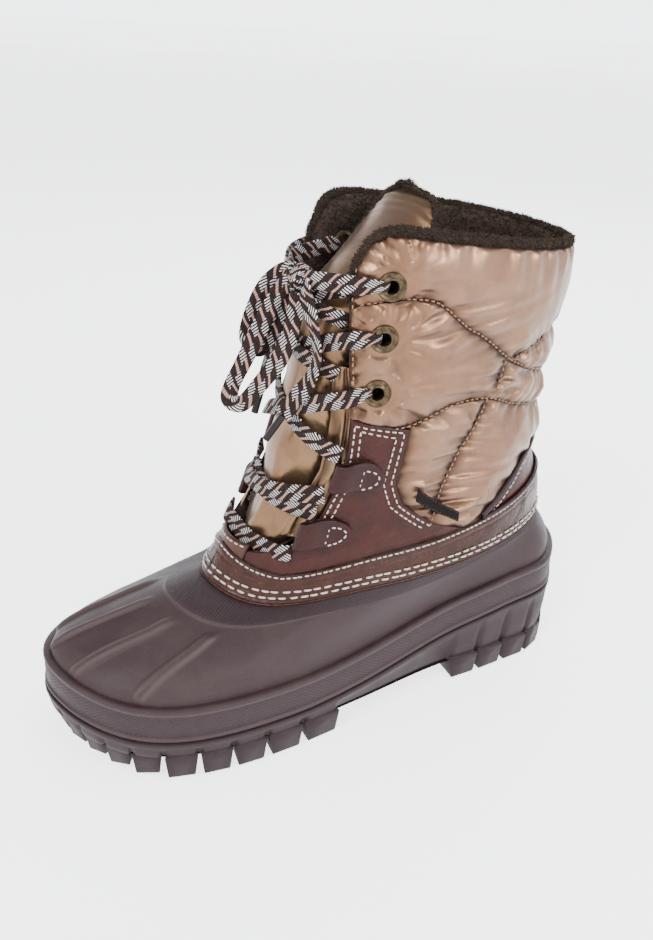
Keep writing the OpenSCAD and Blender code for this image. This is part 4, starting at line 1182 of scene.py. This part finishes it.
def gathers(x, y, seams, seed):
    """Short folds that run away from each seam, deep at the seam and gone a little way off."""
    total, closest = np.zeros(x.shape), np.full(x.shape, 1e9)
    for k, (points, tight) in enumerate(seams):
        d, t = line_distance(x, y, points)
        closest = np.minimum(closest, d)
        drift = noise(t / 9 + 7 * k, 0 * t, seed + k)
        fold = np.sin(TAU * t / tight + 2.4 * drift)
        strength = 0.55 + 0.45 * noise(t / 6 + 3, d / 20, seed + 20 + k)
        total += 0.62 * strength * fold * np.exp(-d / 5.2) * smooth(d / 1.0)
        long_fold = np.sin(TAU * t / (tight * 2.3) + 3 * noise(t / 17, d / 60, seed + 40 + k))
        reach = np.maximum(11 + 8 * noise(t / 12, 0 * t, seed + 60 + k), 4)
        total += 0.85 * long_fold * np.exp(-(d / reach) ** 1.6) * smooth(d / 4.5)
    return total, closest


def eyelet_pull(s, a, side, seed):
    """Creases round each eyelet, the flat seat under it, and the hole through it."""
    x, y = flat_xy(s, a)
    folds, seat, hole = np.zeros(s.shape), np.zeros(s.shape), np.zeros(s.shape, bool)
    for k, (es, ea) in enumerate(EYELETS[side]):
        ex, ey = DEGREE_MM * ea, STATION_MM * es
        r, q = np.hypot(x - ex, y - ey), np.arctan2(y - ey, x - ex)
        q = q + np.pi
        rays = noise(q * 3.4, r / 60 + k, seed + k) + 0.5 * noise(q * 6.5, r / 60, seed + 9 + k)
        folds += 1.0 * rays * np.exp(-((r - 9) / 13) ** 2) * smooth((r - 6) / 4)
        seat = np.maximum(seat, smooth((9.0 - r) / 3.2))
        hole |= r < 3.4
    return folds, seat, hole


def quilt_panel(name, side, grid, seams, seed):
    s, a = grid
    margin = margins(upper_point(s, a))[0]
    x, y = flat_xy(s, a)
    rucks, d = gathers(x, y, seams, seed)
    swell = (QUILT_PUFF + 0.9) * (1 - np.exp(-(d / 7.2) ** 1.05))
    folds, seat, hole = eyelet_pull(s, a, side, seed + 70)
    slack = 0.8 * noise(x / 24 + 5, y / 19, seed + 5) * smooth((d - 3) / 10)
    lean = noise((x + 0.6 * y) / 11, (x - y) / 55, seed + 6)
    slack = slack + 0.45 * lean * smooth((d - 5) / 9)
    height = 0.35 + swell + rucks + folds * (1 - seat) + slack
    height = np.maximum(height, 0.3)
    height = mix(height, EYELET_REST - 0.35, seat)
    height = mix(0.25, height, round_edge(margin, 1.0))
    height = np.where(hole, -7.5, height)
    inner = np.where(hole, -8.0, 0.1)
    # painted shade: the cloth darkens towards the fold colour in the seam valleys, in the gathers' hollows,
    # in the creases round the eyelets, and fully inside the eyelet holes
    tone = np.clip(0.95 * np.exp(-(d / 1.9) ** 1.5) - 0.5 * rucks * np.exp(-d / 10) - 0.28 * folds, 0, 0.96)
    tone = np.where(hole, 1.0, tone)
    panel = slab(name + "_cloth", upper_at(s, a, height), upper_at(s, a, inner), NYLON, [name],
                 tone=tone)


def back_xy(low, high):
    return seam_xy([(180, low), (180, high)])


def add_quilts():
    high, low = seam_xy(SEAM_HIGH), seam_xy(SEAM_LOW)
    quarter_edge = [(a, s) for s, a in QUARTER_BACK]
    for side, word, front in SIDES:
        start = float(edge(front, 5.5))
        front_edge = lambda s: edge(front, s)
        front_xy = lambda s0, s1: seam_xy([(float(edge(front, s)), s) for s in np.linspace(s0, s1, 12)])
        quarter_top = lambda a: np.where(a < 73, edge(QUARTER_TOP, a), 0)
        mid_foot = lambda a: np.maximum(edge(SEAM_LOW, a), quarter_top(a)) + PANEL_GAP
        cuff = quilt_grid(side, front_edge, lambda a: edge(SEAM_HIGH, a) + PANEL_GAP,
                          lambda a: edge(CUFF_TOP, a - start) - 0.02)
        mid = quilt_grid(side, front_edge, mid_foot, lambda a: edge(SEAM_HIGH, a) - PANEL_GAP)
        bottom = quilt_grid(side, lambda s: edge(QUARTER_BACK, s) - 0.8,
                            lambda a: np.maximum(edge(BAND_TOP, a), edge(COUNTER_TOP, a) * (a > 108)) - 0.03,
                            lambda a: edge(SEAM_LOW, a) - PANEL_GAP)
        cuff_top = seam_xy([(start + a, s) for a, s in CUFF_TOP] + [(180, 5.9)])
        # each seam with how far apart its folds are
        quilt_panel("quilt_cuff_" + word, side, cuff, [
            (high, 4.4), (cuff_top, 3.4), (front_xy(4.6, 5.4), 6.0), (seam_xy(SEAM_BACK), 4.6),
            (back_xy(3.4, 5.9), 9.0)], 100 + side)
        quilt_panel("quilt_mid_" + word, side, mid, [
            (high, 4.4), (low, 4.6), (front_xy(3.0, 4.8), 6.5), (seam_xy(SEAM_SHORT), 4.2),
            (back_xy(2.8, 3.7), 9.0)], 200 + side)
        quilt_panel("quilt_low_" + word, side, bottom, [
            (low, 4.6), (seam_xy(quarter_edge), 7.0), (seam_xy(COUNTER_TOP), 7.0),
            (seam_xy(BAND_TOP[2:4]), 8.0), (seam_xy(SEAM_SIDE), 4.2), (back_xy(2.2, 3.0), 9.0)], 300 + side)


def add_quilt_stitches():
    """A fine row just above each seam, and one along the folded front edges."""
    rows = []
    for side, _, front in SIDES:
        for table, start in ((SEAM_HIGH, 40), (SEAM_LOW, 66)):
            rows.append(around_line(table, side, start, 179, 0.012, 0.75))
        for table in (SEAM_BACK, SEAM_SHORT, SEAM_SIDE):
            rows.append(seam_line([[s, side * a] for a, s in table], 0.75))
        rows.append(up_line(front, side, 4.7, 5.3, 2.2, 1.35))
        rows.append(up_line(front, side, 3.3, 4.55, 2.2, 1.35))
    stitches(rows, TAN_THREAD, "stitches_quilt", 1.8, 2.8, 0.36, 0.2)


# ---------------------------------------------------------------- fleece
def tufts(name, points, normals, body, length, width, spread, seed):
    """Pile: a small curved blade at each point, darker at its root than its tip; the dark root is painted
    shade among the fibres.
    """
    rng = np.random.default_rng(seed)
    n = len(points)
    lean = unit(normals + rng.normal(0, spread, (n, 3)) + np.array([0, 0, 0.1]))
    curl = unit(lean + rng.normal(0, 0.7, (n, 3)))
    across = unit(np.cross(lean, rng.normal(0, 1, (n, 3))))
    tall = length * rng.uniform(0.55, 1.15, (n, 1))
    wide = width * rng.uniform(0.7, 1.3, (n, 1))
    low = points - normals * 0.4
    middle = low + lean * tall * 0.55
    tip = middle + curl * tall * 0.5
    verts = np.stack([low - across * wide, low + across * wide, middle - across * wide * 0.8,
                      middle + across * wide * 0.8, tip], 1)
    at = (np.arange(n) * 5)[:, None]
    faces = (at + np.array([0, 1, 3, 2])).tolist() + (at + np.array([2, 3, 4])).tolist()
    bright = rng.uniform(0.55, 1.0, (n, 1)) ** 1.5
    tone = np.array([0.0, 0.0, 0.5, 0.5, 1.0]) * bright
    make(name, verts, faces, FLEECE, body=body, tone=tone)


def scatter(grid, normals, density, seed):
    """Random points on a grid of quads, density a square millimetre."""
    rng = np.random.default_rng(seed)
    a, b, c = grid[:-1, :-1], grid[:-1, 1:], grid[1:, :-1]
    area = np.linalg.norm(np.cross(b - a, c - a), axis=-1).ravel()
    count = int(area.sum() * density)
    pick = rng.choice(len(area), count, p=area / area.sum())
    i, j = np.divmod(pick, grid.shape[1] - 1)
    u, v = rng.random((count, 1)), rng.random((count, 1))
    take = lambda g: mix(mix(g[i, j], g[i, j + 1], u), mix(g[i + 1, j], g[i + 1, j + 1], u), v)
    return take(grid), unit(take(normals))


def trim_path():
    """The collar's roll: up the outer front edge, round the back, and down the inner front edge."""
    down = np.linspace(TRIM_END, 5.3, 9)
    outer = upper_at(down, edge(FRONT_OUTER, down) + 0.4, 0.6)
    inner = upper_at(down[::-1], 360 - edge(FRONT_INNER, down[::-1]) - 0.4, 0.6)
    front, back = float(edge(FRONT_OUTER, 5.5)), 360 - float(edge(FRONT_INNER, 5.5))
    a = np.linspace(front + 1, back - 1, 57)
    past = np.minimum(a - front, back - a)
    return np.concatenate([outer, upper_at(edge(CUFF_TOP, past) + 0.09, a, -0.5), inner])


def add_collar_trim():
    coarse = trim_path()
    steps = lengths(coarse, 0)
    far = np.linspace(0, 1, 400)
    path = np.stack([np.interp(far * steps[-1], steps, coarse[:, k]) for k in range(3)], -1)
    kernel = np.hanning(15) / np.hanning(15).sum()
    path[7:-7] = np.stack([np.convolve(path[:, k], kernel, "valid") for k in range(3)], -1)
    t = unit(np.gradient(path, axis=0))
    out = unit(path - np.array([0, 50, 150]))
    wide = unit(np.cross(out, t))
    thin = np.cross(t, wide)
    ends = np.minimum(far, 1 - far) * steps[-1]
    radius = (1.75 + 0.25 * noise(far * 60, 0 * far, 3)) * (0.45 + 0.55 * smooth((ends - 6) / 26))
    q = np.linspace(0, TAU, 33)
    ring = (path[None] + (radius * np.cos(q)[:, None])[..., None] * wide[None]
            + (radius * np.sin(q)[:, None])[..., None] * thin[None])
    normals = unit(ring - path[None])
    caps = [np.broadcast_to(path[k], (33, 1, 3)) for k in (0, -1)]
    grid = np.concatenate([caps[0], ring, caps[1]], 1)
    make("collar_trim_core", grid, quads(33, 402), FLEECE, ["collar_trim"],
         tone=np.full(33 * 402, 0.15))
    points, out = scatter(ring, normals, 5.5, 11)
    tufts("collar_trim_pile", points, out, "boot", 2.0, 0.24, 0.6, 12)


def add_lining():
    u, v = np.meshgrid(bordered(190, 0.01), bordered(110, 0.016))
    top = np.minimum(5.86, edge(CUFF_TOP, np.minimum(u, 1 - u) * 270)) + 0.07
    s = mix(0.35, top, v)
    a = mix(edge(FRONT_OUTER, s) + 0.8, 359.2 - edge(FRONT_INNER, s), u)
    margin, x, y = margins(upper_point(s, a))
    pile = 0.45 * noises(x / 4.0, y / 4.0, 21) + 0.5 * noises(x / 15, y / 15, 22)
    inner_d = mix(-0.6, LINING_DEPTH + 0.2, round_edge(margin, 9.0)) - pile * smooth(margin / 3)
    outer_d = np.where(margin < 2.5, -0.1, -4.7)
    inner, outer = upper_at(s, a, inner_d), upper_at(s, a, outer_d)
    for es, ea, side in [(*p, k) for k in (1, -1) for p in EYELETS[k]]:
        angle = ea if side > 0 else 360 - ea
        away = np.hypot(DEGREE_MM * (a - angle), STATION_MM * (s - es))
        inner = np.where((away < 3.0)[..., None], outer, inner)
    slab("shaft_lining_fleece", outer, inner, FLEECE, ["shaft_lining"], tone=np.full(s.shape, 0.2))
    face = -upper_out(s, a)
    low = s[:, 0] > 1.2
    points, out = scatter(inner[low], face[low], 1.1, 23)
    tufts("shaft_lining_pile", points, out, "boot", 2.1, 0.5, 0.75, 24)


def add_foot_lining():
    k = np.linspace(0, AROUND, 241)
    t = turns(k)
    depth, back_depth, foot = -7.6, -4.7, 9.4
    rings = [sole_ring(t, SHELL_INSET - depth, foot)]
    for v in np.linspace(0.12, 0.96, 26):
        rings.append(shell_at(k, v, depth + 0.1 - 0.4 * noises(k / 2.0, v * 22, 31)))
    back = [shell_at(k, v, back_depth) for v in (0.96, 0.6, 0.32, 0.12)]
    back.append(sole_ring(t, SHELL_INSET - back_depth, foot))
    grid = np.stack(rings + back + rings[:1])
    make("bootie_lining_fleece", grid, quads(len(grid), 241, flip=True), FLEECE, ["bootie_lining"],
         tone=np.full(grid.shape[:2], 0.2))
    side = (13.6, 9.2), (13.5, 11), (13.7, 13), (14.6, 14.2), (17, 14.4)
    top = [sole_ring(t, inset, height) for inset, height in side]
    for share in (0.75, 0.5, 0.25, 0.02):
        p = sole_in(t, 17)
        p = np.stack([p[:, 0] * share, np.clip(p[:, 1], -118, 118) * (0.6 + 0.4 * share)], -1)
        fuzz = 0.4 * noises(p[:, 0] / 4, p[:, 1] / 4, 33)[:, None]
        top.append(np.concatenate([p, groove_z(p[:, 1:2]) + 14.2 + fuzz], -1))
    make("footbed_fleece", top, quads(len(top), 241), FLEECE, ["footbed"],
         tone=np.full((len(top), 241), 0.25))


# ---------------------------------------------------------------- tongue and throat
def tongue_grid():
    u, v = np.meshgrid(np.linspace(-1, 1, 90), np.linspace(0, 1, 190))
    inner = np.clip((-u - 0.5) / 0.5, 0, 1)
    outer = np.clip((u - 0.1) / 0.9, 0, 1)
    drop = 0.075 * (1 - np.sqrt(1 - 0.96 * inner ** 2)) + 0.17 * smooth(outer * 0.62)
    return u, v * (1 - drop)


def tongue_rim(v, u):
    """The tongue's edge from its inner side, over the top, to its outer side, as rows of (v, u)."""
    high = np.flatnonzero(v[:, 0] > 0.66)
    left = [(v[k, 0], -0.985) for k in high]
    top = list(zip(v[-1], np.clip(u[-1], -0.985, 0.985)))
    right = [(v[k, -1], 0.985) for k in high[::-1]]
    return np.array(left + top + right)


def add_tongue_edge(v, u):
    """The thin fleece roll on the tongue's edge, thickest at the peak."""
    rim = tongue_rim(v, u)
    path = tongue_at(rim[:, 0], rim[:, 1], -0.9)
    far = np.linspace(0, 1, len(rim))
    radius = 1.25 * (0.5 + 0.5 * smooth(far / 0.12) * smooth((1 - far) / 0.12))
    points, faces = sweep(path, tongue_out(rim[:, 0], rim[:, 1]), radius, radius, 16, 1.0)[:2]
    make("tongue_edge_core", points, faces, FLEECE, body="tongue", tone=np.full(len(points), 0.15))
    ring = points.reshape(len(rim), 16, 3)
    grown, out = scatter(ring, unit(ring - path[:, None]), 5.5, 58)
    tufts("tongue_edge_pile", grown, out, "tongue", 1.7, 0.26, 0.5, 59)
    peak = np.argmax(path[:, 2])
    near = np.linalg.norm(grown - path[peak], axis=1) < 5
    tufts("tongue_peak_pile", grown[near], out[near], "tongue", 3.4, 0.3, 0.55, 60)


def add_tongue():
    u, v = tongue_grid()
    margin, x, y = margins(tongue_base(v, u))
    rest = smooth((v - TONGUE_BEND) / 0.1)
    pleat = 0.9 * np.sin(u * 9 + 2.2 * noise(u * 2, v * 7, 51)) * (1 - smooth((v - 0.2) / 0.25))
    wave = 0.5 * np.sin(y / 5.2 + 3 * noise(x / 18, y / 18, 53)) * smooth((v - 0.25) / 0.2) * (1 - rest)
    wrinkle = 0.7 * noise(x / 20 + v * 3, y / 28, 52) + wave
    edge_fold = 0.7 * np.sin(y / 0.85 + 2 * noise(x / 9, y / 9, 55)) * np.exp(-margin / 5.5) * smooth(v / 0.5)
    puffy = 2.6 * (1 - np.exp(-(margin / 8) ** 1.1)) - 1.0
    lift = np.clip(pleat + wrinkle * 0.8 + edge_fold + puffy, -1.2, 2.1) - 0.1
    lift = np.where(v < 0.06, np.minimum(lift, 0.1), lift)
    outer = tongue_at(v, u, lift * smooth(margin / 1.5))
    inner = tongue_at(v, u, -2.4)
    # painted shade: darker towards the rolled edges and in the hollows of the wrinkles
    tone = np.clip(0.8 * np.exp(-(margin / 1.6) ** 2) - 0.3 * lift + 0.15, 0, 0.9)
    shell = slab("tongue_shell_cloth", outer, inner, PLEAT_NYLON, ["tongue_shell"], "tongue", tone)
    face_d = -7.3 - 0.45 * noises(x / 4, y / 4, 54)
    back = tongue_at(v, u, mix(-2.6, face_d, round_edge(margin, 3.0)))
    front = tongue_at(v, u, -2.45)
    slab("tongue_lining_fleece", front, back, FLEECE, ["tongue_lining", "tongue_pad"], "tongue",
         np.full(u.shape, 0.25))
    upper = v[:, 0] > 0.5
    points, out = scatter(back[upper], -tongue_out(v, u)[upper], 1.4, 56)
    tufts("tongue_lining_pile", points, out, "tongue", 2.3, 0.45, 0.7, 57)
    add_tongue_edge(v, u)


def add_gussets():
    """The pleated cloth that joins the tongue's sides to the quarters."""
    for side, word, front in SIDES:
        u, v = np.meshgrid(np.linspace(0, 1, 60), np.linspace(0, 1, 120))
        w = u if side > 0 else 1 - u
        s = mix(1.3, 3.9, v)
        a = side * (edge(front, s) + mix(-11, 1.2, w))
        margin, x, y = margins(upper_point(s, a))
        fold = 1.1 * np.sin(w * 11 + 4 * v + 2 * noise(w * 2, v * 6, 60 + side))
        ruck = 0.5 * noises(x / 5, y / 9, 62)
        depth = mix(-2.6, -1.1, w) + (fold * 0.55 + ruck * 0.5) * smooth(margin / 2)
        depth = np.minimum(depth, -0.25)
        outer, inner = upper_at(s, a, depth), upper_at(s, a, depth - 0.6)
        # the tone is painted shade, darker in the pleats' hollows
        cloth = slab("gusset_%s_cloth" % word, outer, inner, PLEAT_NYLON, ["gusset_" + word],
                     tone=np.clip(0.35 - 0.3 * fold, 0, 0.8))


# ---------------------------------------------------------------- eyelets and inner parts
def lathe(profile, frames, count=48):
    """A turned profile of [radius, height] at each frame of (origin, axis)."""
    parts, q = [], TAU * np.arange(count) / count
    p = np.asarray(profile, float)
    for origin, axis in frames:
        one = unit(np.cross(axis, [0.3, 0.5, 0.8]))
        two = np.cross(axis, one)
        around = np.cos(q)[None, :, None] * one + np.sin(q)[None, :, None] * two
        grid = origin + p[:, 0][:, None, None] * around + p[:, 1][:, None, None] * axis
        faces = quads(len(p), count, closed=True)
        parts.append((grid.reshape(-1, 3), faces, np.zeros((grid.size // 3, 2)), np.zeros(grid.size // 3)))
    return parts


def add_eyelets():
    r, h = EYELET_D / 2, EYELET_HOLE / 2
    rim = [[h, -12.0], [h + 0.5, -12.0], [h + 0.5, -0.5], [r - 0.2, -0.35], [r, 0.05], [r - 0.15, 0.5],
           [r - 0.55, 0.75], [r - 1.0, 0.62], [r - 1.3, 0.4], [h + 1.5, 0.4], [h + 1.15, 0.75],
           [h + 0.75, 1.05], [h + 0.3, 0.95], [h + 0.02, 0.5], [h, -0.4], [h, -12.0]]
    back = [[h + 0.55, 0], [h + 0.55, 0.5], [h + 1.2, 0.75], [h + 2.6, 0.6], [h + 3.1, 0.2], [h + 3.1, 0],
            [h + 0.55, 0]]
    for side, word, _ in SIDES:
        places = [(np.array(s), np.array(side * a)) for s, a in EYELETS[side]]
        for name, profile, depth, sign in (("eyelets_", rim, EYELET_REST, 1), ("washers_", back, -9.0, -1)):
            frames = [(upper_at(s, a, depth), sign * upper_out(s, a)) for s, a in places]
            make_parts(name + word + "_brass", lathe(profile, frames), BRASS, [name + word])


def add_inner_looks():
    for node, look in (("midsole", FOAM), ("shank", STEEL), ("insole_board", BOARD), ("toe_puff", STIFFENER),
                       ("heel_stiffener", STIFFENER), ("shaft_wadding", WADDING)):
        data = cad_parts[node].data
        data.materials.clear()
        data.materials.append(look)


add_camera()
add_studio()
add_free_laces()
add_laced_strands()
add_knot()
add_rubber_shell()
add_foxing()
add_outsole()
add_quarters()
add_vamp()
add_counter()
add_collar_band()
add_leather_stitches()
add_loops()
add_tag()
add_quilts()
add_quilt_stitches()
add_collar_trim()
add_lining()
add_foot_lining()
add_tongue()
add_gussets()
add_eyelets()
add_inner_looks()
